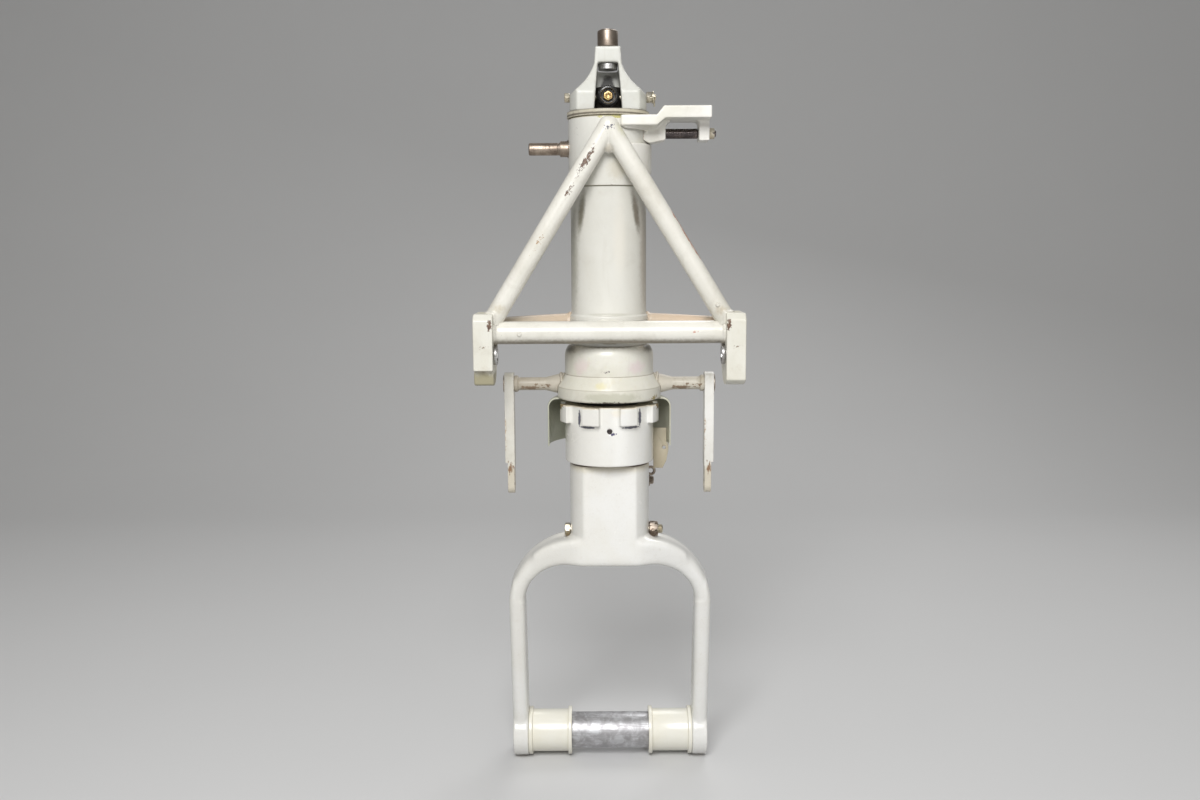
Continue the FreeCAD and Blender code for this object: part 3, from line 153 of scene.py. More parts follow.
# mask of one mark; marks are real stains, painted shade and painted highlights
def stainAndShadeMask(f, stainAndShade):
    x, y, z = stainAndShade["at"]
    away = f.vectors("SUBTRACT", f.place, (x * mm, axisY + y * mm, z * mm))
    if "lean" in stainAndShade:  # degrees from upright, seen from the front
        away = f.node("VectorRotate", {"rotation_type": "Y_AXIS"}, {
            "Vector": away, "Angle": math.radians(-stainAndShade["lean"])})
    reach = tuple(part * mm for part in stainAndShade["reach"])
    distance = f.vectors("LENGTH", f.vectors("DIVIDE", away, reach), (0, 0, 0), "Value")
    woven = f.vectors("MULTIPLY", away, stainAndShade.get("weave", (1, 1, 1)))
    grain = f.noise(stainAndShade.get("grain", 260), 5, 0.65, 0.4, woven)
    strength = stainAndShade.get("strength", 1.0)
    if "flecks" in stainAndShade:
        return f.ramp(grain + f.ramp(distance, 1, 0) * stainAndShade["flecks"], 0.73, 0.77) * strength
    ragged = (grain - 0.5) * stainAndShade.get("broken", 1.1)
    if "crisp" in stainAndShade:
        return f.ramp(1 - distance + ragged, 0.0, stainAndShade["crisp"]) * strength
    return f.ramp(f.ramp(distance, 1, 0) + ragged, 0.05, 0.95) * strength


def mark(middle, reach, tone=None, **more):  # a mark's middle and half sizes in millimetres; marks are stains, painted shade and painted highlights
    return {"at": middle, "reach": reach, "tone": tone, **more}


def band(z, height, tone, **more):  # a mark all the way round, used for stains and for bands of painted shade
    return mark((0, 0, z), (400, 400, height), tone, **more)


scales = {"cloud": 8, "patch": 36, "fine": 330, "streak": 120, "speck": 1500, "bare": 700,
          "peel": 560, "brushed": 900, "rust": 420}


def paint(name, look, stainsAndShade=()):
    f = Finish(name, Coat_Weight=look["coat"], Coat_Roughness=0.16)
    cloud = f.noise(scales["cloud"], 5, 0.6, 0.5)
    patch = f.noise(scales["patch"], 6, 0.62, 0.8)
    fine = f.noise(scales["fine"], 5, 0.68, 0.3)
    colour = f.mix(f.ramp(cloud, 0.38, 0.66), look["tone"], look["shade"])
    colour = f.mix(f.ramp(patch, 0.5, 0.75) * look["soil"], colour, look["dirt"])
    streak = f.noise(scales["streak"], 4, 0.6, 0.2, f.stretched((1, 1, 0.09)))
    colour = f.mix(f.ramp(streak, 0.56, 0.78) * (0.6 * look["soil"]), colour, look["dirt"])
    speck = f.ramp(f.noise(scales["speck"], 2, 0.5), 0.69, 0.76) * f.ramp(patch, 0.42, 0.62)
    colour = f.mix(speck * (0.8 * look["soil"] + 0.1), colour, look["speck"])
    # marks without chips tint the colour: stains, painted shadows and painted highlights
    for stainAndShade in stainsAndShade:
        if not stainAndShade.get("chip"):
            colour = f.mix(stainAndShadeMask(f, stainAndShade), colour, stainAndShade["tone"])
    rim = f.rim(look.get("rim", 1.0) * mm)
    chips = f.ramp(fine + rim * look["wear"], 0.76, 0.8)
    colour = f.mix(rim * 0.25, colour, look["dirt"])
    for stainAndShade in stainsAndShade:
        if stainAndShade.get("chip"):
            chips = chips.most(stainAndShadeMask(f, stainAndShade))
    bare = f.mix(f.ramp(f.noise(scales["bare"], 3), 0.42, 0.6), look["bare"], look["rust"])
    colour = f.mix(chips, colour, bare)
    peel = f.noise(scales["peel"], 3, 0.5)
    height = peel * look["peel"] + patch * 0.8 - chips
    rough = look["rough"] + f.ramp(patch, 0.4, 0.75) * 0.1 + chips * 0.25
    return f.send(Base_Color=colour, Roughness=rough, Normal=f.bump(height, 0.07 * mm))


def metal(name, look, stainsAndShade=()):
    f = Finish(name)
    cloud = f.noise(look["patch"], 5, 0.62, 0.6)
    grain = f.noise(scales["brushed"], 3, 0.6, 0.0, f.stretched(look["grain"]))
    fine = f.noise(scales["rust"], 5, 0.68, 0.4)
    colour = f.mix(f.ramp(cloud, 0.36, 0.64), look["tone"], look["shade"])
    colour = f.mix(f.ramp(grain, 0.4, 0.72) * look["brushed"], colour, look["shade"])
    rust = f.ramp(fine * 0.55 + cloud * 0.45, 0.62 - 0.2 * look["rust"], 0.7 - 0.14 * look["rust"])
    rust = rust * min(1.0, look["rust"] * 2)
    for stainAndShade in stainsAndShade:
        rust = rust.most(stainAndShadeMask(f, stainAndShade))
    colour = f.mix(rust, colour, f.mix(f.ramp(fine, 0.4, 0.6), look["oxide"], look["oxideDark"]))
    rim = f.rim(0.7 * mm)
    colour = f.mix(rim * 0.55, colour, look.get("edge", look["tone"]))
    rough = look["rough"] + f.ramp(grain, 0.3, 0.75) * 0.14 + rust * 0.3
    rough = rough + f.ramp(cloud, 0.4, 0.7) * 0.06
    height = grain * look["brushed"] + rust * 0.9 + fine * 0.3
    return f.send(Base_Color=colour, Metallic=1 - rust * 0.75, Roughness=rough,
                  Normal=f.bump(height, look.get("relief", 0.04) * mm))


frameLook = {
    "tone": (0.76, 0.74, 0.665), "shade": (0.70, 0.675, 0.595), "dirt": (0.40, 0.35, 0.26),
    "speck": (0.13, 0.09, 0.06), "bare": (0.20, 0.13, 0.09), "rust": (0.09, 0.045, 0.03),
    "soil": 0.22, "wear": 0.2, "rough": 0.36, "coat": 0.15, "peel": 0.5,
}
glossLook = dict(frameLook, tone=(0.86, 0.855, 0.83), shade=(0.82, 0.81, 0.77), soil=0.05,
    wear=0.1, rough=0.2, coat=0.6, peel=0.7, rim=0.9)
linkLook = dict(frameLook, tone=(0.86, 0.85, 0.81), wear=0.26, soil=0.2, coat=0.4)
steelLook = {
    "tone": (0.44, 0.38, 0.32), "shade": (0.25, 0.20, 0.16), "oxide": (0.22, 0.12, 0.06),
    "oxideDark": (0.07, 0.045, 0.035), "edge": (0.58, 0.53, 0.47), "grain": (1, 1, 0.15),
    "brushed": 0.4, "rust": 0.5, "rough": 0.36, "patch": 60,
}
plateLook = dict(steelLook, tone=(0.62, 0.58, 0.49), shade=(0.46, 0.42, 0.34), rust=0.18,
    oxide=(0.35, 0.24, 0.12), edge=(0.70, 0.67, 0.60), rough=0.34)
chromeLook = dict(steelLook, tone=(0.66, 0.665, 0.68), shade=(0.50, 0.50, 0.51), rust=0.06,
    edge=(0.72, 0.72, 0.72), grain=(0.05, 1, 1), brushed=0.35, rough=0.13, patch=42, relief=0.012)
machinedLook = dict(steelLook, tone=(0.55, 0.55, 0.54), shade=(0.40, 0.39, 0.38), rust=0.1,
    grain=(0.1, 0.1, 1), rough=0.28)
bronzeLook = dict(steelLook, tone=(0.62, 0.46, 0.26), shade=(0.45, 0.31, 0.15), rust=0.1,
    oxide=(0.22, 0.14, 0.06), edge=(0.72, 0.58, 0.36), rough=0.3)

legLean = 31.5
# colour of painted shade: the cross tube's underside and its shadow on the housing top
grimeAndShade = (0.10, 0.085, 0.055)
braceStains = [
    mark((-21, -57, 183), (5.5, 8, 34), lean=legLean, chip=True, flecks=0.35, grain=560,
         weave=(1, 1, 0.5)),
    mark((-38, -57, 154), (5, 8, 22), lean=legLean, chip=True, flecks=0.27, grain=620,
         weave=(1, 1, 0.6)),
    mark((-66, -57, 108), (6, 8, 26), (0.38, 0.22, 0.09), lean=legLean, flecks=0.22, grain=520),
    mark((0, -57, 214), (12, 8, 9), (0.08, 0.08, 0.12), flecks=0.24, grain=620),
    mark((0, -52, 194), (8, 9, 8), (0.36, 0.31, 0.22), strength=0.6),
    mark((13, -50, 212), (13, 12, 14), (0.60, 0.58, 0.36), strength=0.6),
    mark((0, -48, 225), (16, 14, 4), (0.58, 0.55, 0.24), strength=0.7),
    mark((75, -50, 113), (5, 10, 60), (0.50, 0.27, 0.18), lean=-legLean, flecks=0.5, grain=330,
         weave=(1, 1, 0.25)),
    mark((-105, -52, 44), (12, 12, 9), (0.50, 0.42, 0.26), strength=0.6),
    mark((106, -52, 42), (10, 12, 8), (0.42, 0.33, 0.20), strength=0.7),
    mark((-12, -40, 190), (5, 7, 26), (0.42, 0.40, 0.28), lean=legLean, strength=0.6),
]
barStainsAndShade = [
    # painted shade along the cross tube's underside, away from the overhead light
    mark((0, -47, 9), (62, 30, 8.5), grimeAndShade, strength=0.9, broken=0.5),
    mark((0, -47, 10.5), (400, 400, 7.5), (0.20, 0.165, 0.11), strength=0.9, broken=0.6),
    mark((81, -58, 22), (6, 5, 3), (0.60, 0.33, 0.25), flecks=0.3, grain=420),
    mark((-109, -48, 21), (4.5, 14, 13), (0.20, 0.13, 0.07), flecks=0.4),
    mark((109, -48, 19), (4.5, 14, 13), (0.16, 0.11, 0.07), flecks=0.4),
    mark((-16, -58, 14), (3, 5, 3), (0.2, 0.2, 0.19), flecks=0.26, grain=500),
]
barrelStainsShadeAndHighlight = [
    # painted shadows of the two braces on the barrel
    mark((-27, -28, 134), (6, 16, 36), (0.17, 0.15, 0.10), lean=8, strength=0.85, broken=0.7),
    mark((27, -28, 134), (6, 16, 38), (0.16, 0.13, 0.09), lean=-10, strength=0.85, broken=0.7),
    mark((8, -38, 176), (16, 8, 20), (0.50, 0.45, 0.33), strength=0.5),
    band(160.6, 1.2, (0.28, 0.27, 0.2), broken=0.4),
    mark((30, -22, 192), (11, 16, 26), (0.56, 0.53, 0.40), strength=0.5),
    mark((0, -37, 37), (42, 20, 3), (0.46, 0.44, 0.36), strength=0.5, broken=0.4),
    # painted highlight down the barrel's front
    mark((12, -38, 110), (14, 9, 70), (0.80, 0.76, 0.67), strength=0.5, broken=0.3),
    # painted shade along the barrel's sides, where the round turns away from the light
    mark((37, -14, 92), (14, 26, 95), (0.47, 0.42, 0.35), strength=0.85, broken=0.6),
    mark((-37, -14, 92), (15, 26, 95), (0.40, 0.39, 0.33), strength=0.85, broken=0.6),
    mark((4, -38, 225), (30, 12, 3.5), (0.50, 0.47, 0.18), flecks=0.4, grain=200),
    band(226, 1.5, (0.34, 0.29, 0.18), strength=0.8, broken=0.6),
    mark((-30, -22, 212), (9, 12, 12), (0.42, 0.39, 0.34), flecks=0.17, grain=500),
]
housingStainsAndShade = [
    mark((-27, -34, -13), (15, 16, 14), (0.76, 0.64, 0.62), strength=0.6, broken=1.6, grain=120),
    mark((26, -34, -14), (20, 18, 12), (0.78, 0.65, 0.66), strength=0.6, broken=1.6, grain=120),
    mark((-3, -44, -18), (9, 6, 4), (0.16, 0.13, 0.13), flecks=0.25, grain=520),
    band(-23.2, 0.8, (0.46, 0.40, 0.33), strength=0.7, broken=0.4),
    mark((-8, -49, -31), (10, 8, 7), (0.72, 0.66, 0.38), strength=0.7, broken=1.7, grain=180),
    mark((4, -53, -42.5), (38, 24, 6.2), (0.53, 0.52, 0.41), strength=0.75, broken=1.3, crisp=0.5,
         grain=90),
    band(-36, 0.8, (0.50, 0.46, 0.37), broken=0.3, strength=0.7),
    mark((0, -53, -47.6), (46, 20, 2.6), (0.09, 0.07, 0.05), flecks=0.32, grain=360),
    mark((44, -26, -45), (12, 20, 6), (0.38, 0.31, 0.15), flecks=0.34),
    # painted shadow of the cross tube on the housing's top
    mark((-39, -14, 4), (14, 30, 9), grimeAndShade, strength=0.9, broken=0.7),
    mark((39, -14, 4), (13, 30, 8), grimeAndShade, strength=0.9, broken=0.7),
    mark((0, -28, 7), (70, 60, 4.5), (0.20, 0.16, 0.10), strength=0.7),
    mark((-47, 0, -30), (12, 22, 18), (0.42, 0.40, 0.30), strength=0.75),
    mark((47, 0, -30), (10, 20, 16), (0.44, 0.40, 0.29), strength=0.7),
]
# colour of the painted shadows along the sides and undersides of the collar's teeth
paintedToothShadow = (0.12, 0.12, 0.15)
collarStainsAndShade = [
    # painted shadows beside and under the castellated teeth
    mark((-29.6, -34, -65), (1.5, 14, 9.5), paintedToothShadow, crisp=0.3, broken=1.5, grain=420),
    mark((29.8, -34, -64), (1.6, 14, 10), paintedToothShadow, crisp=0.3, broken=1.4, grain=420),
    mark((-22, -40, -73), (9, 14, 1.4), paintedToothShadow, crisp=0.3, broken=1.6, grain=420),
    mark((21, -40, -73), (10, 14, 1.5), paintedToothShadow, crisp=0.3, broken=1.5, grain=420),
    mark((3, -44, -79), (6, 6, 3.6), (0.09, 0.08, 0.16), flecks=0.36, grain=420),
    band(-52.5, 3, (0.72, 0.62, 0.44), strength=0.75),
    mark((47, -14, -55), (9, 16, 7), (0.24, 0.16, 0.07), flecks=0.42),
    mark((-47, -14, -55), (9, 16, 7), (0.28, 0.20, 0.09), flecks=0.42),
    mark((8, -46, -58), (12, 8, 7), (0.84, 0.79, 0.66), strength=0.6),
    # painted shade in the gap under the collar
    band(-112.4, 1.3, (0.20, 0.13, 0.09), strength=0.9, broken=0.8),
    mark((0, 40, -60), (50, 16, 9), (0.35, 0.28, 0.18), strength=0.7),
]
forkStainsAndShade = [
    # partly a cream tint, partly painted shadow of the collar on the stem's top; then painted
    # shade in the gap under the collar
    band(-113, 12, (0.66, 0.60, 0.45), strength=0.7, broken=0.5),
    band(-113, 2.4, (0.12, 0.07, 0.045), strength=0.95, broken=0.5),
    mark((0, -10, -219), (90, 26, 2.8), (0.38, 0.24, 0.13), flecks=0.3),
    *(mark((x, 42, -446), (14, 30, 7), (0.46, 0.36, 0.22), strength=0.8) for x in (-96, 96)),
    mark((-42, 0, -191), (9, 16, 5), (0.42, 0.32, 0.20), strength=0.7),
    mark((42, 0, -191), (9, 16, 5), (0.36, 0.26, 0.16), strength=0.8),
    # painted shade on the inner faces of the fork arms
    *(mark((x, 30, -340), (3, 30, 100), (0.56, 0.56, 0.45), strength=0.6, broken=0.4)
      for x in (-88, 88)),
    mark((0, 34, -160), (30, 10, 40), (0.55, 0.48, 0.34), strength=0.5),
]


def lugStainsAndShade(side):
    x = side * 120
    return [
        mark((side * 111, -47.5, 21), (5, 17, 16), (0.14, 0.09, 0.05), flecks=0.4, grain=300),
        mark((x, -66, 8), (12, 8, 6), (0.22, 0.15, 0.09), flecks=0.4),
        # painted shade on the set-back lower part of the lug
        mark((x, -60, -12), (14, 14, 9), (0.40, 0.31, 0.18), strength=0.7),
        mark((x, -40, 40), (14, 34, 4), (0.60, 0.55, 0.36), strength=0.6),
        mark((side * 113, -70, 30), (5, 5, 13), chip=True, flecks=0.36),
        mark((x, -52, 0), (20, 14, 14), (0.35, 0.28, 0.18), flecks=0.3),
        # painted shade on the left lug's set-back boss below its front block
        mark((-120, -50, -24), (22, 40, 11), (0.34, 0.31, 0.20), strength=0.85, crisp=0.5,
             broken=0.7),
    ]


def linkStains(side):
    x = side * 100.7
    return [
        mark((x, 0, -132), (9, 14, 20), (0.60, 0.54, 0.42), crisp=0.1, strength=0.8, broken=0.3),
        mark((x, -8, -119), (6, 6, 15), (0.26, 0.15, 0.08), flecks=0.34, grain=420,
             weave=(1, 1, 0.5)),
        mark((x, -2, -28), (9, 14, 9), (0.58, 0.55, 0.45), strength=0.7),
        mark((x - 4, -8, -80), (3, 5, 40), (0.50, 0.36, 0.24), flecks=0.26, grain=420),
    ]


# painted shade inside the tower's slot, where the light does not reach
paintedSlotShade = (0.03, 0.027, 0.022)
towerStainsAndShade = [
    mark((0, 0, 252), (14.5, 17.5, 34), paintedSlotShade, broken=0.1, crisp=0.08),
    mark((0, -14, 246), (12, 23, 25), paintedSlotShade, broken=0.2, crisp=0.3),
    mark((-36, 0, 247), (6, 10, 10), (0.60, 0.50, 0.22)),
    mark((0, 0, 293.5), (15, 15, 3), (0.42, 0.33, 0.22), strength=0.7),
    mark((0, -20, 233), (40, 16, 2.4), (0.12, 0.10, 0.07), strength=0.8, broken=0.6),
    mark((30, -16, 240), (14, 14, 10), (0.70, 0.70, 0.64), strength=0.7),
]
rodStains = [mark((x, -6, -36), (34, 12, 9), (0.24, 0.17, 0.11), flecks=0.27, grain=240,
                  weave=(0.4, 1, 1)) for x in (76, -76)]
# painted shade on the shroud where it passes behind the collar
shroudPaintedShade = [mark((x, 6, -54), (9, 16, 10), (0.16, 0.14, 0.08), strength=0.85)
                for x in (50, -50)]
ringStains = [band(z, 1.7, (0.10, 0.08, 0.06), strength=0.85, broken=0.9)
              for z in (228.6, 232.8)]
whiteLook = dict(glossLook, tone=(0.88, 0.875, 0.845), shade=(0.84, 0.825, 0.77))
castLook = dict(frameLook, tone=(0.80, 0.785, 0.71), shade=(0.72, 0.70, 0.60), wear=0.26,
    rough=0.4, peel=0.8)
finishes = {
    "brace": paint("braceEnamel", dict(frameLook, tone=(0.82, 0.80, 0.73), rough=0.3, coat=0.3),
        braceStains),
    "bar": paint("crossBarEnamel", dict(frameLook, tone=(0.83, 0.81, 0.74), rough=0.28,
        coat=0.35), barStainsAndShade),
    "barrel": paint("barrelEnamel", dict(frameLook, tone=(0.735, 0.725, 0.67),
        shade=(0.68, 0.665, 0.60), soil=0.14, rough=0.36, coat=0.2), barrelStainsShadeAndHighlight),
    "frame": paint("rearTieEnamel", dict(frameLook, tone=(0.66, 0.52, 0.39),
        shade=(0.52, 0.45, 0.36), soil=0.5)),
    "housing": paint("housingEnamel", dict(castLook, soil=0.16, rough=0.3), housingStainsAndShade),
    "lug": paint("lugEnamel", castLook, lugStainsAndShade(1) + lugStainsAndShade(-1)),
    "arm": paint("uplockArmEnamel", dict(castLook, tone=(0.86, 0.84, 0.79), wear=0.3,
        bare=(0.42, 0.22, 0.14), soil=0.14)),
    "tower": paint("towerEnamel", dict(castLook, tone=(0.64, 0.64, 0.595),
        shade=(0.56, 0.56, 0.50), soil=0.3), towerStainsAndShade),
    "rod": paint("sideRodEnamel", dict(frameLook, tone=(0.66, 0.62, 0.53),
        shade=(0.44, 0.39, 0.31), soil=0.8, wear=0.3, rough=0.5, peel=0.9,
        bare=(0.30, 0.19, 0.12)), rodStains),
    "leftLink": paint("leftLinkEnamel", linkLook, linkStains(-1)),
    "rightLink": paint("rightLinkEnamel", linkLook, linkStains(1)),
    "shroud": paint("shroudEnamel", dict(frameLook, tone=(0.60, 0.60, 0.49),
        shade=(0.46, 0.47, 0.37), soil=0.4, rim=1.4, wear=0.1), shroudPaintedShade),
    "tab": paint("tabEnamel", dict(frameLook, tone=(0.55, 0.50, 0.38), shade=(0.43, 0.37, 0.26),
        soil=0.6), [mark((56, 14, -101), (7, 5, 7), (0.14, 0.09, 0.05), flecks=0.28, grain=320)]),
    "collar": paint("collarEnamel", whiteLook, collarStainsAndShade),
    "gloss": paint("earEnamel", dict(whiteLook, soil=0.15)),
    "fork": paint("forkEnamel", dict(whiteLook, wear=0.05), forkStainsAndShade),
    "spacer": paint("spacerEnamel", dict(whiteLook, tone=(0.90, 0.88, 0.79),
        shade=(0.87, 0.83, 0.69), rough=0.3, dirt=(0.62, 0.50, 0.20), rim=2.2, wear=0.02)),
    "sealant": paint("yellowedSealant", dict(frameLook, tone=(0.52, 0.50, 0.18),
        shade=(0.40, 0.37, 0.12), soil=0.3, wear=0)),
    "grimeAndShade": paint("seamGrime", dict(frameLook, tone=(0.40, 0.35, 0.28), shade=(0.28, 0.24, 0.18),
        wear=0, rough=0.6)),
    "steel": metal("oxidisedSteel", steelLook),
    "roller": metal("rollerSteel", dict(steelLook, tone=(0.36, 0.31, 0.26), rust=0.35,
        grain=(0.06, 0.06, 1)), [mark((0, 0, 294.8), (14, 14, 2.4), broken=0.6)]),
    "stud": metal("studSteel", dict(steelLook, tone=(0.46, 0.38, 0.31), grain=(1, 0.12, 0.12),
        rust=0.4)),
    "bushes": metal("bushSteel", machinedLook),
    "plate": metal("dullPlate", plateLook),
    "ring": paint("thrustRingEnamel", dict(frameLook, tone=(0.60, 0.56, 0.45),
        shade=(0.46, 0.42, 0.31), soil=0.6, wear=0.3, rough=0.5), ringStains),
    # near-black paint standing in for the shadow in the gap under the housing
    "gapShade": paint("gapShadeBlack", dict(frameLook, tone=(0.02, 0.016, 0.012),
        shade=(0.012, 0.010, 0.008), dirt=(0.05, 0.035, 0.02), speck=(0.06, 0.045, 0.03), wear=0,
        rough=0.7)),
    "bright": metal("brightWasher", dict(chromeLook, tone=(0.74, 0.74, 0.73),
        shade=(0.40, 0.39, 0.38), rough=0.3, patch=320)),
    "creamSteel": metal("creamedSteel", dict(plateLook, tone=(0.76, 0.71, 0.58),
        shade=(0.50, 0.44, 0.33), rust=0.25)),
    "dark": metal("oiledPinSteel", dict(steelLook, tone=(0.17, 0.14, 0.13),
        shade=(0.07, 0.06, 0.06), rust=0.1, edge=(0.3, 0.28, 0.27), grain=(1, 0.1, 0.1),
        rough=0.2)),
    "chrome": metal("hardChrome", dict(chromeLook, rough=0.44, brushed=0.7, patch=110,
        shade=(0.42, 0.41, 0.42), relief=0.03)),
    "machined": metal("turnedSteel", machinedLook),
    "bronze": metal("turnedBronze", bronzeLook),
    "brass": metal("valveBrass", dict(bronzeLook, tone=(0.80, 0.58, 0.22), rough=0.22)),
    "rubber": paint("blackValveCap", dict(glossLook, tone=(0.012, 0.012, 0.013),
        shade=(0.02, 0.02, 0.02), dirt=(0.09, 0.08, 0.06), speck=(0.2, 0.18, 0.13),
        bare=(0.10, 0.10, 0.10), rust=(0.05, 0.05, 0.05), rough=0.2, coat=0.5, wear=0.06,
        soil=0.2)),
}
print("finishes made")

slotFinish = {
    "frame_paint": "frame", "link_paint": "arm", "gloss_white": "gloss", "ivory_paint": "spacer",
    "bare_steel": "steel", "plated_steel": "plate", "hard_chrome": "chrome",
    "machined_steel": "machined", "sealed_ring": "ring", "bearing_bronze": "bronze",
    "valve_black": "rubber", "valve_brass": "brass", "seal_rubber": "rubber",
}
partSlots = {part["node"]: part["material_slot"] for part in frame["record"]["subparts"]}
for part, slot in partSlots.items():
    nodes[part].data.materials.clear()
    nodes[part].data.materials.append(finishes[slotFinish[slot]])


def at(x, y, z):  # millimetres from the strut's centreline
    return Vector((x * mm, axisY + y * mm, z * mm))


def mode(name):
    bpy.ops.object.mode_set(mode=name)


def only(*pieces):
    bpy.ops.object.select_all(action="DESELECT")
    for piece in pieces:
        piece.select_set(True)
    bpy.context.view_layer.objects.active = pieces[0]
    return pieces[0]


def editing(piece):
    only(piece)
    mode("EDIT")
    bpy.ops.mesh.select_all(action="SELECT")


def tidied(piece, gap=0.01):
    editing(piece)
    bpy.ops.mesh.remove_doubles(threshold=gap * mm)
    bpy.ops.mesh.normals_make_consistent(inside=False)
    mode("OBJECT")
    return piece


def joined(name, *pieces):
    piece = only(*pieces)
    if len(pieces) > 1:
        bpy.ops.object.join()
    piece.name = piece.data.name = name
    return piece


def applied(piece, kind, **settings):
    only(piece)
    change = piece.modifiers.new("change", kind)
    for key, value in settings.items():
        setattr(change, key, value)
    bpy.ops.object.modifier_apply(modifier=change.name)
    return piece


def cadCopy(name, *sources):
    copies = []
    for source in sources:
        copy = nodes[source].copy()
        copy.data = nodes[source].data.copy()
        for key in list(copy.keys()):
            del copy[key]
        copy.parent = None
        copy.matrix_world = Matrix.Identity(4)
        bpy.context.scene.collection.objects.link(copy)
        copy.data.materials.clear()
        copies.append(copy)
    piece = tidied(joined(name, *copies))
    bpy.ops.mesh.customdata_custom_splitnormals_clear()
    return piece


def softened(piece, width=0.5, angle=30, segments=2):
    editing(piece)
    bpy.ops.mesh.dissolve_limited(angle_limit=math.radians(0.4))
    mode("OBJECT")
    applied(piece, "BEVEL", width=width * mm, segments=segments, limit_method="ANGLE",
            angle_limit=math.radians(angle), harden_normals=False, use_clamp_overlap=True)
    only(piece)
    bpy.ops.object.shade_smooth_by_angle(angle=math.radians(32))
    return piece


waves = bpy.data.textures.new("castWaves", "CLOUDS")
waves.noise_scale = 0.022


def melted(piece, grain, rounds=4, wave=0.0):  # cast or welded surface without sharp edges
    applied(piece, "REMESH", mode="VOXEL", voxel_size=grain * mm)
    applied(piece, "SMOOTH", factor=0.5, iterations=rounds)
    if wave:
        applied(piece, "DISPLACE", texture=waves, strength=wave * mm, mid_level=1.0,
                texture_coords="GLOBAL")
    only(piece)
    bpy.ops.object.shade_smooth()
    return piece


def eased(piece, chosen, rounds):  # smooths one region more than the rest
    group = piece.vertex_groups.new(name="region")
    origin = at(0, 0, 0)
    picked = [v.index for v in piece.data.vertices if chosen(*((v.co - origin) / mm))]
    group.add(picked, 1.0, "REPLACE")
    applied(piece, "SMOOTH", factor=0.5, iterations=rounds, vertex_group="region")
    piece.vertex_groups.clear()


def settled(piece, finish, *replaced, like=None):  # hands a finished piece to the frame
    source = like or replaced[0]
    piece.data.materials.clear()
    piece.data.materials.append(finishes[finish])
    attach(piece, nodes[source]["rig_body"])
    if replaced:
        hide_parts(*replaced)
    return piece


def soft(name, node, finish, width, **more):  # the same piece with eased edges
    settled(softened(cadCopy(name, node), width, **more), finish, node)


def cast(name, node, finish, grain):  # the same piece with a cast surface
    settled(melted(cadCopy(name, node), *grain), finish, node)


tipped = {"X": "Y", "Y": "X"}  # which axis a turned piece is tipped about; Y faces the front


def fresh(shape, **settings):  # a primitive that is the only piece selected
    bpy.ops.object.select_all(action="DESELECT")
    getattr(bpy.ops.mesh, "primitive_" + shape + "_add")(**settings)
    return bpy.context.object


def turned(name, profile, base=(0, 0, 0), axis="Z", sides=48, spin=0.0):
    first, height = profile[0]
    piece = fresh("circle", vertices=sides, radius=first * mm, fill_type="NGON")
    mode("EDIT")
    bpy.ops.mesh.select_all(action="SELECT")
    bpy.ops.transform.translate(value=(0, 0, height * mm))
    for (before, low), (after, high) in zip(profile, profile[1:]):
        bpy.ops.mesh.extrude_region_move(
            TRANSFORM_OT_translate={"value": (0, 0, (high - low) * mm)})
        if after != before:
            grow = after / before
            bpy.ops.transform.resize(value=(grow, grow, 1), center_override=(0, 0, 0))
    bpy.ops.mesh.select_all(action="SELECT")
    bpy.ops.mesh.normals_make_consistent(inside=False)
    mode("OBJECT")
    piece.data.transform(Matrix.Rotation(spin, 4, "Z"))
    way = Matrix.Identity(4)
    if axis in tipped:
        way = Matrix.Rotation(math.pi / 2, 4, tipped[axis])
    piece.data.transform(Matrix.Translation(at(*base)) @ way)
    piece.name = piece.data.name = name
    only(piece)
    bpy.ops.object.shade_smooth_by_angle(angle=math.radians(28))
    return piece


def aimed(piece, start, facing):  # moves a piece turned at the origin to a place and direction
    piece.data.transform(Matrix.Translation(-at(0, 0, 0)))
    way = Vector(facing).to_track_quat("Z", "Y").to_matrix().to_4x4()
    piece.data.transform(Matrix.Translation(at(*start)) @ way)
    return piece


def rod(name, start, end, radius, sides=40):  # plain bar between two places
    start, end = Vector(start), Vector(end)
    piece = turned(name, [(radius, 0), (radius, (end - start).length)], sides=sides)
    return aimed(piece, start, end - start)


def ball(name, centre, reach, sides=32):
    piece = fresh("uv_sphere", segments=sides, ring_count=sides // 2, radius=mm)
    piece.data.transform(Matrix.Translation(at(*centre)) @ Matrix.Diagonal((*reach, 1)))
    piece.name = piece.data.name = name
    return piece


def box(name, low, high):
    piece = fresh("cube", size=1)
    low, high = at(*low), at(*high)
    piece.data.transform(Matrix.Translation((low + high) / 2)
                         @ Matrix.Diagonal((*(high - low), 1)))
    piece.name = piece.data.name = name
    return piece


def shaped(piece, operation, *tools):  # boolean with other pieces, which are used up
    for tool in tools:
        applied(piece, "BOOLEAN", operation=operation, object=tool, solver="EXACT")
        bpy.data.objects.remove(tool)
    return piece


def seam(start, end, radius, inside, steps=90):  # where a bar's surface goes into another part
    start, end = Vector(start), Vector(end)
    axis = end - start
    side = axis.orthogonal().normalized()
    rise = axis.cross(side).normalized()
    line = []
    for step in range(steps):
        angle = math.tau * step / steps
        origin = start + (side * math.cos(angle) + rise * math.sin(angle)) * radius
        near, far = 0.0, 1.0
        for halving in range(18):
            middle = (near + far) / 2
            if inside(origin + axis * middle):
                far = middle
            else:
                near = middle
        line.append(origin + axis * near)
    return line


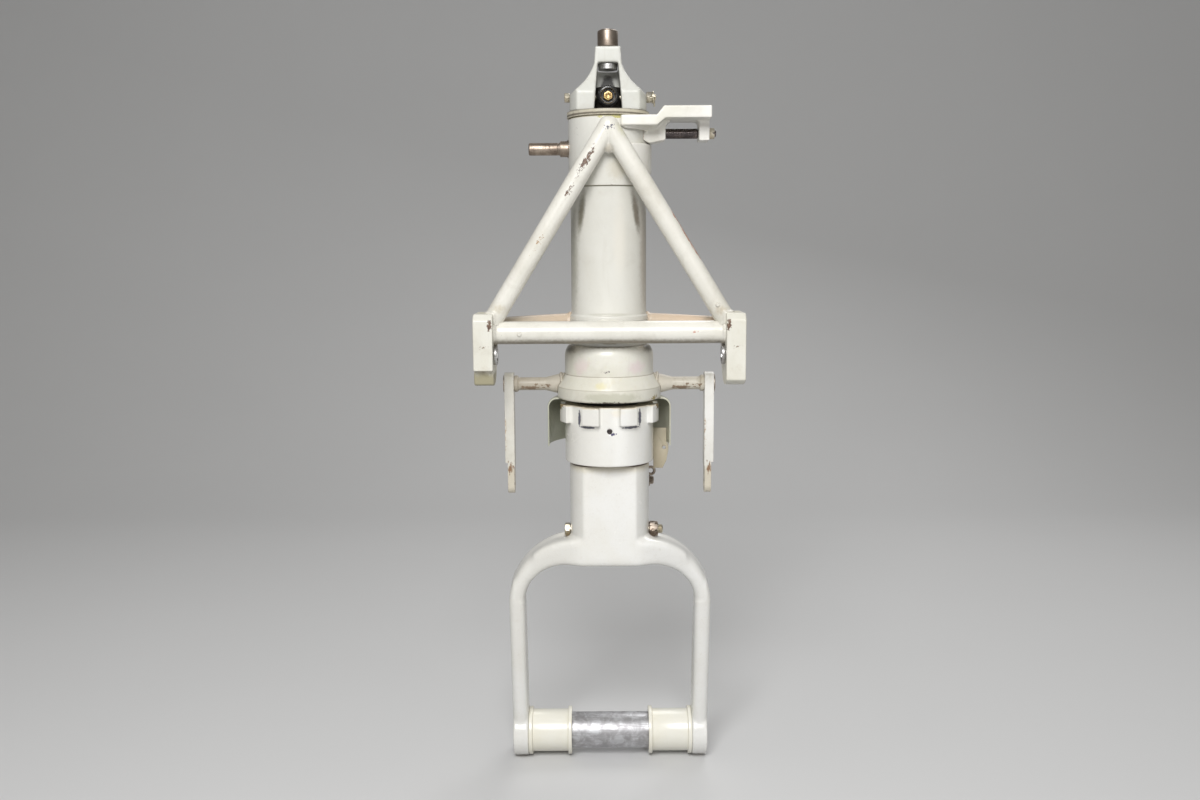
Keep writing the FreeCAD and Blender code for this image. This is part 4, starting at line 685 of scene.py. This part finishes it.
def stroke(name, line, thick, closed=False, ripple=0.16, spacing=0.9, sides=2):
    loop = list(line) + ([line[0]] if closed else [])
    path, spare = [Vector(loop[0])], 0.0
    for first, last in zip(loop, loop[1:]):
        first, last = Vector(first), Vector(last)
        length = (last - first).length
        while spare + spacing <= length:
            spare += spacing
            path.append(first.lerp(last, spare / length))
        spare -= length
    curve = bpy.data.curves.new(name, "CURVE")
    curve.dimensions = "3D"
    curve.bevel_depth = thick * mm
    curve.bevel_resolution = sides
    curve.use_fill_caps = not closed
    spline = curve.splines.new("POLY")
    spline.points.add(len(path) - 1)
    for number, place in enumerate(path):
        spline.points[number].co = (*at(*place), 1)
        spline.points[number].radius = 1 + ripple * (math.sin(number * 2.3)
                                                     + random.uniform(-0.7, 0.7))
    spline.use_cyclic_u = closed
    piece = bpy.data.objects.new(name, curve)
    bpy.context.scene.collection.objects.link(piece)
    only(piece)
    bpy.ops.object.convert(target="MESH")
    piece = bpy.context.object
    tidied(piece)
    bpy.ops.object.shade_smooth()
    return piece


def ringLine(radius, z, first=0, last=360, steps=120):
    angles = [math.radians(first + (last - first) * step / steps) for step in range(steps + 1)]
    if last - first == 360:
        angles.pop()
    return [(radius * math.cos(turn), radius * math.sin(turn), z) for turn in angles]


# strut barrel and the tubes welded on it

weld = {"cast": (1.0, 3)}  # voxel size and rounds of smoothing of the welded tubes
barrel = {"radius": 37.4, "sleeve": 39.0, "sleeveFoot": 161.0, "bandTop": 40, "bandBead": 31.5,
          "footBead": 0.4, "soft": 0.6}
brace = {
    "radius": 9.5, "foot": (112.6, -47.5, 32), "apex": (0, -47.5, 215.5), "bead": 1.9,
    "blobs": (((0, -47.5, 215.5), (9.6, 9.4, 9.2)), ((0, -43, 211), (12.5, 7, 12)),
              ((0, -46.8, 196.5), (5, 5.4, 7))),
    "plug": ((103.2, -56.9, 47.3), (0.25, -1, 0.15)),
}
cross = {
    "radius": 11.0, "y": -47.5, "z": 21.0, "lug": 110.5, "intoLug": 3, "bead": 2.1,
    "barrelBead": {"y": -41.2, "rise": 10.2, "curve": 0.010, "half": 14, "thick": 2.3},
    "plug": ((-86, -58.3, 20.2), (0, -1, -0.05)),
}
rear = {"radius": 8.0, "foot": (114.5, -26.5, 26.5), "head": (20.4, 12, 29.5), "bore": 35.5,
        "boreTop": 60, "headBead": 1.8, "footBead": 1.6}
lug = {"inner": 110.5, "front": -70.0, "top": 40.0, "cast": (0.9, 5, 0.25), "bushSoft": 0.4}


def insideBarrel(place):
    thick = place.z > barrel["sleeveFoot"] or place.z < barrel["bandTop"]
    return math.hypot(place.x, place.y) < barrel["sleeve" if thick else "radius"]


def insideLug(place):
    return abs(place.x) > lug["inner"] and place.z < lug["top"] and place.y > lug["front"]


def mirrored(place, side):
    return (place[0] * side, place[1], place[2])


def makeBarrel():
    tube = softened(cadCopy("barrelTube", "outer_barrel"), barrel["soft"])
    sleeve, radius = barrel["sleeve"], barrel["radius"]
    lip = stroke("sleeveLip", ringLine(sleeve - 0.35, barrel["sleeveFoot"] + 0.2), 0.42,
                 closed=True, ripple=0.05)
    bead = stroke("bandBead", ringLine(sleeve - 0.9, barrel["bandBead"]), 1.2, closed=True)
    foot = stroke("housingBead", ringLine(radius + 0.3, barrel["footBead"]), 1.3, closed=True)
    settled(joined("barrelTube", tube, lip, bead, foot), "barrel", "outer_barrel")


def makeFrameTubes():
    parts = []
    for side in (1, -1):
        foot, apex = mirrored(brace["foot"], side), mirrored(brace["apex"], side)
        parts.append(rod("leg", foot, apex, brace["radius"]))
        middle = Vector(foot).lerp(Vector(apex), 0.5)
        parts.append(stroke("legBead", seam(middle, foot, brace["radius"], insideLug),
                            brace["bead"], closed=True))
    parts += [ball("apexBlob", *blob) for blob in brace["blobs"]]
    return joined("frontBraces", *parts)


def makeCrossTubes():
    y, z, radius, bead = cross["y"], cross["z"], cross["radius"], cross["barrelBead"]
    reach = cross["lug"] + cross["intoLug"]
    parts = [rod("bar", (-reach, y, z), (reach, y, z), radius)]
    for side in (1, -1):
        line = seam((0, y, z), (side * 125, y, z), radius, insideLug)
        parts.append(stroke("barBead", line, cross["bead"], closed=True))
    for side in (-1, 1):
        line = [(x, bead["y"], z + side * (bead["rise"] - bead["curve"] * x * x))
                for x in range(-bead["half"], bead["half"] + 1, 2)]
        parts.append(stroke("barrelBead", line, bead["thick"]))
    return joined("crossBar", *parts)


def makeRearTubes():
    parts, radius = [], rear["radius"]
    for side in (1, -1):
        foot, head = mirrored(rear["foot"], side), mirrored(rear["head"], side)
        bore = rod("bore", (0, 0, 0), (0, 0, rear["boreTop"]), rear["bore"])
        parts.append(shaped(rod("tie", foot, head, radius), "DIFFERENCE", bore))
        middle = Vector(foot).lerp(Vector(head), 0.4)
        parts.append(stroke("tieBead", seam(middle, head, radius, insideBarrel),
                            rear["headBead"], closed=True))
        parts.append(stroke("tieFoot", seam(middle, foot, radius, insideLug),
                            rear["footBead"], closed=True))
    return joined("rearTies", *parts)


def ventPlug(place, facing):
    plug = turned("ventPlug", [(2.1, -1.5), (2.1, 0.7), (1.5, 1.3), (0.4, 1.35)], sides=20)
    return aimed(plug, place, facing)


makeBarrel()
braces = melted(makeFrameTubes(), *weld["cast"])
settled(joined("frontBraces", braces, ventPlug(*brace["plug"])), "brace", "brace_left",
        "brace_right")
bar = melted(makeCrossTubes(), *weld["cast"])
settled(joined("crossBar", bar, ventPlug(*cross["plug"])), "bar", "front_cross_tube")
settled(melted(makeRearTubes(), *weld["cast"]), "frame", "rear_cross_tubes")
print("frame tubes made")

for side in ("left", "right"):
    cast(side + "Lug", "trunnion_lug_" + side, "lug", lug["cast"])
soft("lugBushes", "trunnion_bushes", "bushes", lug["bushSoft"])
print("lugs made")


housing = {"soft": 0.7, "wall": 48.6, "sealRadius": 44.4, "sealHeight": -23.2, "seal": 0.35}
sideRod = {"cast": (0.8, 4), "radius": 10.4, "z": -34, "outer": 80, "inner": 30, "bead": 1.4}
sideLink = {"outer": 105.4, "reliefFrom": -2.2, "reliefTo": 3, "y": 30, "low": -160,
            "high": -114, "soft": 0.9, "capSoft": 0.4}


def makeHousing():
    soft("lowerHousing", "lower_bearing_housing", "housing", housing["soft"], segments=3)
    seal = stroke("housingSeal", ringLine(housing["sealRadius"], housing["sealHeight"]),
                  housing["seal"], closed=True, ripple=0.1)
    settled(seal, "grimeAndShade", like="lower_bearing_housing")
    rods = melted(cadCopy("sideRods", "side_rods"), *sideRod["cast"])
    beads = []
    for side in (1, -1):
        line = seam((sideRod["outer"] * side, 0, sideRod["z"]),
                    (sideRod["inner"] * side, 0, sideRod["z"]), sideRod["radius"],
                    lambda place: math.hypot(place.x, place.y) < housing["wall"])
        beads.append(stroke("rodBead", line, sideRod["bead"], closed=True))
    settled(joined("sideRods", rods, *beads), "rod", "side_rods")
    for side, way in (("left", -1), ("right", 1)):
        bar = cadCopy(side + "Link", "side_link_" + side)
        inner, outer = (way * (sideLink["outer"] + sideLink[end])
                        for end in ("reliefFrom", "reliefTo"))
        relief = box("relief", (min(inner, outer), -sideLink["y"], sideLink["low"]),
                     (max(inner, outer), sideLink["y"], sideLink["high"]))
        bar = softened(shaped(bar, "DIFFERENCE", relief), sideLink["soft"], segments=3)
        settled(bar, side + "Link", "side_link_" + side)
    soft("linkCaps", "link_retainers", "steel", sideLink["capSoft"])


shroud = {"soft": 0.35, "tabSoft": 0.3}
rivets = {"radius": 48.3, "z": -49.4, "turns": (35, 90, 145),
          "outline": [(2.6, 0), (2.5, -0.5), (1.7, -1.1), (0.4, -1.28)]}


def makeShroud():
    soft("rearShroud", "rear_shroud", "shroud", shroud["soft"])
    soft("shroudTab", "shroud_tab", "tab", shroud["tabSoft"])
    radius = rivets["radius"]
    heads = [turned("rivet", rivets["outline"],
                    (radius * math.cos(turn), radius * math.sin(turn), rivets["z"]), sides=24)
             for turn in map(math.radians, rivets["turns"])]
    settled(joined("shroudRivets", *heads), "steel", "shroud_rivets")


nipple = {"at": (-22.9, 38.1, -20), "facing": (-9, 15, 0),
          "outline": [(3.1, 0), (3.1, 3), (1.9, 3.8), (1.8, 6), (1.3, 6.8), (1.7, 7.8),
                      (1.2, 8.8), (0.5, 8.9)]}


def makeNipple():
    body = turned("greaseNipple", nipple["outline"], sides=24)
    settled(aimed(body, nipple["at"], nipple["facing"]), "brass", "grease_nipple")


makeHousing()
makeShroud()
makeNipple()
print("housing made")


uplock = {
    "root": [(13.2, -39.5, 225.8), (13, -39, 217), (17, -37.5, 215.6), (26, -33, 215.4),
             (33, -26, 215), (37.6, -20.5, 214)],
    "bead": 2.1, "cast": (0.8, 7, 0.2), "roller": (56, -7, 211.5),
    "rollerOutline": [(4.4, 0), (4.9, 0.5), (4.9, 30.5), (4.4, 31)],
}
saddle = {"radius": 41.2, "edges": ((-57, 200, 173.5), (18, 173.5, 200)), "bead": 1.5,
          "cast": (0.8, 9)}


def makeUplock():
    arm = joined("uplockArm", cadCopy("armBody", "uplock_arm"),
                 stroke("rootBead", uplock["root"], uplock["bead"]))
    settled(melted(arm, *uplock["cast"]), "arm", "uplock_arm")
    beads = []
    for degrees, *heights in saddle["edges"]:
        turn = math.radians(degrees)
        x, y = saddle["radius"] * math.cos(turn), saddle["radius"] * math.sin(turn)
        beads.append(stroke("saddleBead", [(x, y, z) for z in heights], saddle["bead"]))
    plate = joined("armSaddle", cadCopy("saddlePlate", "arm_saddle"), *beads)
    settled(melted(plate, *saddle["cast"]), "arm", "arm_saddle")
    roll = turned("uplockRoller", uplock["rollerOutline"], uplock["roller"], "X")
    settled(roll, "dark", "uplock_roller")


stud = {"x": -78, "z": 198, "radius": 7.7, "bead": 1.1,
        "outline": [(5.4, 0), (6.1, 0.9), (6.1, 28.4), (5.8, 28.9), (6.1, 29.4), (6.1, 30.3),
                    (7.7, 31.0), (7.7, 41)]}


def makeStud():
    z = stud["z"]
    pin = turned("sideStud", stud["outline"], (stud["x"], 0, z), "X")
    line = seam((-60, 0, z), (-20, 0, z), stud["radius"], insideBarrel)
    bead = stroke("studBead", line, stud["bead"], closed=True)
    settled(joined("sideStud", pin, bead), "stud", "side_stud")


makeUplock()
makeStud()
print("uplock made")


ringSeal = {"soft": 0.5, "radius": 39.0, "z": 227.2, "arcs": ((-84, -62), (-60, -44), (100, 128)),
            "thick": 0.7, "ripple": 0.5}
post = {
    "washer": [(8.9, 273.2), (9.2, 273.5), (9.2, 278.4), (8.9, 278.7), (5.1, 278.8)],
    "outline": [(4.6, 273.4), (5, 273.8), (5, 310.4), (7.4, 310.5), (7.3, 310.9), (6.9, 311),
                (3.2, 311), (2.6, 309.8), (0.4, 309.7)],
    "low": 294.5, "high": 310.2, "bore": 5.1, "towerCast": (0.8, 16, 0.15),
}


def makeTower():
    soft("thrustRing", "thrust_ring", "ring", ringSeal["soft"])
    cast("steeringTower", "steering_tower", "tower", post["towerCast"])
    seal = []
    for first, last in ringSeal["arcs"]:
        line = ringLine(ringSeal["radius"], ringSeal["z"], first, last, 30)
        seal.append(stroke("sealant", line, ringSeal["thick"], ripple=ringSeal["ripple"]))
    settled(joined("ringSealant", *seal), "sealant", like="thrust_ring")
    settled(turned("postWasher", post["washer"]), "bright", "roller_post_nut")
    settled(turned("rollerPost", post["outline"]), "steel", "roller_post")
    low, high = post["low"], post["high"]
    roll = turned("steeringRoller", [(5.2, low), (9.4, low), (9.9, low + 0.5), (10, low + 1.2),
                                     (10, high - 1.6), (9.7, high - 0.6), (8.9, high),
                                     (5.2, high)], sides=64)
    hole = rod("hole", (0, 0, 290), (0, 0, 315), post["bore"])
    settled(shaped(roll, "DIFFERENCE", hole), "roller", "steering_roller")


valve = {
    "z": 246.5, "notches": 8, "notchRing": 10.6, "notchRadius": 1.5, "neckRadius": 12.1,
    "outline": [(9.2, 6.2), (10.2, 7.0), (10.2, 17.2), (9.7, 18.6), (8.6, 19.7), (7.6, 20),
                (6.9, 19.4), (6.5, 16.4), (0.5, 16.2)],
    "core": [(4.6, 16.4), (5.1, 16.9), (5.1, 19.3), (4.4, 19.9), (2.9, 20.0), (2.8, 20.8),
             (2.1, 21), (1.5, 20.1), (0.3, 20)],
}


def makeValve():
    body = turned("valveBody", valve["outline"], (0, 0, valve["z"]), "Y", 64)
    ring, tools = valve["notchRing"], []
    for number in range(valve["notches"]):
        turn = math.tau * (number + 0.5) / valve["notches"]
        x, z = ring * math.cos(turn), valve["z"] + ring * math.sin(turn)
        tools.append(rod("notch", (x, -13, z), (x, -24, z), valve["notchRadius"], 16))
    tools.append(rod("neck", (0, 0, 230), (0, 0, 262), valve["neckRadius"]))
    settled(shaped(body, "DIFFERENCE", *tools), "rubber", "filler_valve_body")
    core = turned("valveCore", valve["core"], (0, 0, valve["z"]), "Y", 6)
    softened(core, 0.3, 20)
    settled(core, "brass", "filler_valve_core")


makeTower()
makeValve()
print("tower made")


hexEdge = {"lip": 0.96, "round": 1.02, "from": 0.16, "to": 0.84, "slot": 0.08, "soft": 0.2}
thread = {"pitch": 1.1, "first": 0.88, "crest": 0.45, "root": 0.9, "tip": 0.7}


def hexagon(name, base, across, height, bore=0.0, castle=0.0):  # along X
    x, y, z = base
    flats = across / math.sqrt(3)
    body = turned(name, [(flats, 0), (flats, height)], base, "X", 6)
    lip, full = across / 2 * hexEdge["lip"], flats * hexEdge["round"]
    crown = turned("crown", [(lip, 0), (full, height * hexEdge["from"]),
                             (full, height * hexEdge["to"]), (lip, height)], base, "X", 40)
    shaped(body, "INTERSECT", crown)
    if castle:
        spot, cuts, half = at(*base), [], across * hexEdge["slot"]
        for number in range(3):
            cut = box("slot", (x + height - castle, y - across, z - half),
                      (x + height + 1, y + across, z + half))
            cut.data.transform(Matrix.Translation(spot)
                               @ Matrix.Rotation(math.pi / 3 * number, 4, "X")
                               @ Matrix.Translation(-spot))
            cuts.append(cut)
        shaped(body, "DIFFERENCE", *cuts)
    if bore:
        shaped(body, "DIFFERENCE", rod("bore", (x - 1, y, z), (x + height + 1, y, z), bore))
    return softened(body, hexEdge["soft"], 25)


def threadEnd(name, base, radius, length):
    profile, reach, pitch = [(radius * thread["first"], 0)], 0.0, thread["pitch"]
    while reach + pitch < length:
        profile += [(radius, reach + pitch * thread["crest"]),
                    (radius * thread["root"], reach + pitch)]
        reach += pitch
    profile.append((radius * thread["tip"], length))
    return turned(name, profile, base, "X", 28)


splitPin = {"back": 1.4, "reach": 0.8, "radius": 0.75}
fastener = {"across": 1.7, "castle": 2.6, "slot": 0.34, "soft": 0.4, "cotterCast": (0.35, 2)}
linkBolt = {"y": 58, "head": (-41.5, 7.6, 5.5), "shank": (-36, 36, 4.7), "end": 48.0,
            "nut": (36, 7.4, 8.0), "finish": "steel"}
bolts = {
    "towerBolt": {"node": "tower_bolt", "y": 0, "z": 247, "head": (-42.5, 5.0, 5.0),
                  "shank": (-37.5, 43.0, 3.15), "end": 47.0, "finish": "creamSteel"},
    "forkBolt": {"node": "fork_bolt", "y": 0, "z": -185, "head": (-46, 7.2, 5.5),
                 "shank": (-40.5, 46.0, 4.7), "end": 54.5, "finish": "creamSteel"},
    "upperLinkBolt": {**linkBolt, "node": "upper_link_bolt", "z": -146},
    "lowerLinkBolt": {**linkBolt, "node": "lower_link_bolt", "z": -206},
    "apexBolt": {"node": "apex_bolt", "y": 163.84, "z": -176, "head": (-23, 7.4, 5.0),
                 "shank": (-18, 18, 4.7), "end": 26.0, "finish": "steel"},
}
nuts = {
    "towerNut": {"node": "tower_nut", "y": 0, "z": 247, "from": 37.5, "across": 10,
                 "height": 5.5, "bore": 3.2, "finish": "plate"},
    "uplockNut": {"node": "uplock_nut", "y": -7, "z": 211.5, "from": 98, "across": 10,
                  "height": 5.5, "bore": 3.2, "finish": "creamSteel"},
    "forkNut": {"node": "fork_nut", "y": 0, "z": -185, "from": 40.5, "across": 14.5,
                "height": 9, "bore": 4.75, "finish": "steel"},
    "apexNut": {"node": "apex_nut", "y": 163.84, "z": -176, "from": 18, "across": 13,
                "height": 6.5, "bore": 4.75, "finish": "steel"},
}


def makeBolts():
    for name, bolt in bolts.items():
        y, z = bolt["y"], bolt["z"]
        start, radius, height = bolt["head"]
        low, high, shank = bolt["shank"]
        parts = [hexagon(name, (start, y, z), radius * fastener["across"], height),
                 rod("shank", (low, y, z), (high, y, z), shank, 28),
                 threadEnd("thread", (high, y, z), shank, bolt["end"] - high)]
        if "nut" in bolt:
            place, outer, deep = bolt["nut"]
            parts.append(hexagon("nut", (place, y, z), outer * fastener["across"], deep,
                                 castle=fastener["castle"]))
            x, reach = place + deep - splitPin["back"], outer * splitPin["reach"]
            parts.append(stroke("pin", [(x, y - reach, z), (x, y + reach, z)],
                                splitPin["radius"], ripple=0))
        settled(joined(name, *parts), bolt["finish"], bolt["node"])
    for name, nut in nuts.items():
        body = hexagon(name, (nut["from"], nut["y"], nut["z"]), nut["across"], nut["height"],
                       nut["bore"], nut["height"] * fastener["slot"])
        settled(body, nut["finish"], nut["node"])
    soft("uplockBolt", "uplock_bolt", "dark", fastener["soft"])
    cast("towerCotter", "tower_cotter", "creamSteel", fastener["cotterCast"])


makeBolts()
print("fasteners made")


collar = {"cast": (0.85, 5, 0.15), "earCast": (0.8, 4), "eyeCast": (0.35, 2), "screwSoft": 0.3}


def makeCollar():
    cast("steeringCollar", "steering_collar", "collar", collar["cast"])
    cast("upperEars", "upper_link_ears", "gloss", collar["earCast"])
    cast("tieEye", "tie_eye", "steel", collar["eyeCast"])
    soft("collarScrew", "collar_set_screw", "dark", collar["screwSoft"])
    # the oleo cylinder shows only in the gap under the housing, so it gets the near-black painted
    # shade
    oleo = nodes["oleo_cylinder"].data.materials
    oleo.clear()
    oleo.append(finishes["gapShade"])


fork = {"cast": (1.35, 6, 0.2), "rounds": 110, "half": 99, "low": -262, "high": -187,
        "back": 26, "bossHalf": 23, "bossFoot": -206}
axle = {"spacerSoft": 0.6, "tubeSoft": 0.5, "plateSoft": 0.4, "linkCast": (0.8, 4, 0.15)}


def onShoulder(x, y, z):  # the shoulders of the fork, without the boss between them
    shoulder = abs(x) < fork["half"] and fork["low"] < z < fork["high"] and y < fork["back"]
    return shoulder and (abs(x) > fork["bossHalf"] or z < fork["bossFoot"])


def makeFork():
    body = melted(cadCopy("noseFork", "fork"), *fork["cast"])
    eased(body, onShoulder, fork["rounds"])
    settled(body, "fork", "fork")
    for side in ("left", "right"):
        soft(side + "Spacer", "axle_spacer_" + side, "spacer", axle["spacerSoft"], segments=3)
    soft("axleTube", "axle_tube", "chrome", axle["tubeSoft"])
    soft("axlePlates", "axle_end_plates", "plate", axle["plateSoft"])
    for name in ("upper", "lower"):
        cast(name + "TorqueLink", name + "_torque_link", "gloss", axle["linkCast"])


makeCollar()
makeFork()
print("collar and fork made")


stage = {"floorDrop": 0.4475, "depth": 2.6, "length": 11.0, "width": 16.0, "wall": 3.2,
         "sweep": 1.4, "seen": 0.72, "bounce": 0.42}  # metres, then the two greys


def makeStage():
    floor = fresh("plane", size=1)
    mode("EDIT")
    bpy.ops.transform.resize(value=(stage["width"], stage["length"], 1))
    bpy.ops.transform.translate(value=(0, stage["depth"] - stage["length"] / 2,
                                       -stage["floorDrop"]))
    mode("OBJECT")
    for edge in floor.data.edges:
        edge.select = all(floor.data.vertices[v].co.y > 1 for v in edge.vertices)
    for face in floor.data.polygons:
        face.select = False
    for vertex in floor.data.vertices:
        vertex.select = vertex.co.y > 1
    mode("EDIT")
    bpy.ops.mesh.select_mode(type="EDGE")
    bpy.ops.mesh.extrude_region_move(TRANSFORM_OT_translate={"value": (0, 0, stage["wall"])})
    mode("OBJECT")
    sweep = floor.modifiers.new("sweep", "BEVEL")
    sweep.width, sweep.segments = stage["sweep"], 24
    bpy.ops.object.modifier_apply(modifier="sweep")
    bpy.ops.object.shade_smooth()
    floor.name = "paleFloor"
    f = Finish("paleFloorPaper", Roughness=0.85)
    eye = f.node("LightPath", out="Is Camera Ray")
    shine = f.node("LightPath", out="Is Glossy Ray")
    tone = f.mix(eye.most(shine), (stage["bounce"],) * 3, (stage["seen"],) * 3)
    tone = f.mix(f.ramp(f.noise(3, 3), 0.3, 0.7) * 0.03, tone, (0.5, 0.5, 0.5))
    floor.data.materials.append(f.send(Base_Color=tone))


lamps = {
    "key": {"at": (-0.25, -1.70, 1.15), "size": 1.0, "power": 40},
    "fill": {"at": (0.9, -1.6, -0.1), "size": 1.2, "power": 5.5},
    "back": {"at": (0.5, 1.2, 1.2), "size": 1.0, "power": 9},
}
room = {"tone": (1.0, 0.985, 0.95, 1), "light": 0.22, "aim": -0.05}


def makeLamps():
    for name, lamp in lamps.items():
        bpy.ops.object.light_add(type="AREA", location=lamp["at"])
        light = bpy.context.object
        light.name = name + "Lamp"
        light.data.size = lamp["size"]
        light.data.energy = lamp["power"]
        aim = Vector((0, axisY, room["aim"])) - light.location
        light.rotation_euler = aim.to_track_quat("-Z", "Y").to_euler()
    world = bpy.data.worlds.new("studio")
    bpy.context.scene.world = world
    world.use_nodes = True
    sky = world.node_tree.nodes["Background"]
    sky.inputs["Color"].default_value = room["tone"]
    sky.inputs["Strength"].default_value = room["light"]


camera = {"at": (-0.0093, -1.110, 0.099), "pitch": 7.70, "roll": -0.30, "lens": 33.15,
          "sensor": 36}


def makeCamera():
    x, y, z = camera["at"]
    bpy.ops.object.camera_add(location=(x, axisY + y, z))
    eye = bpy.context.object
    tilt = Matrix.Rotation(math.radians(90 - camera["pitch"]), 4, "X")
    roll = Matrix.Rotation(math.radians(camera["roll"]), 4, "Z")
    eye.rotation_euler = (tilt @ roll).to_euler()
    eye.data.lens = camera["lens"]
    eye.data.sensor_width = camera["sensor"]
    bpy.context.scene.camera = eye


makeStage()
makeLamps()
makeCamera()
bpy.context.scene.view_settings.view_transform = "Standard"
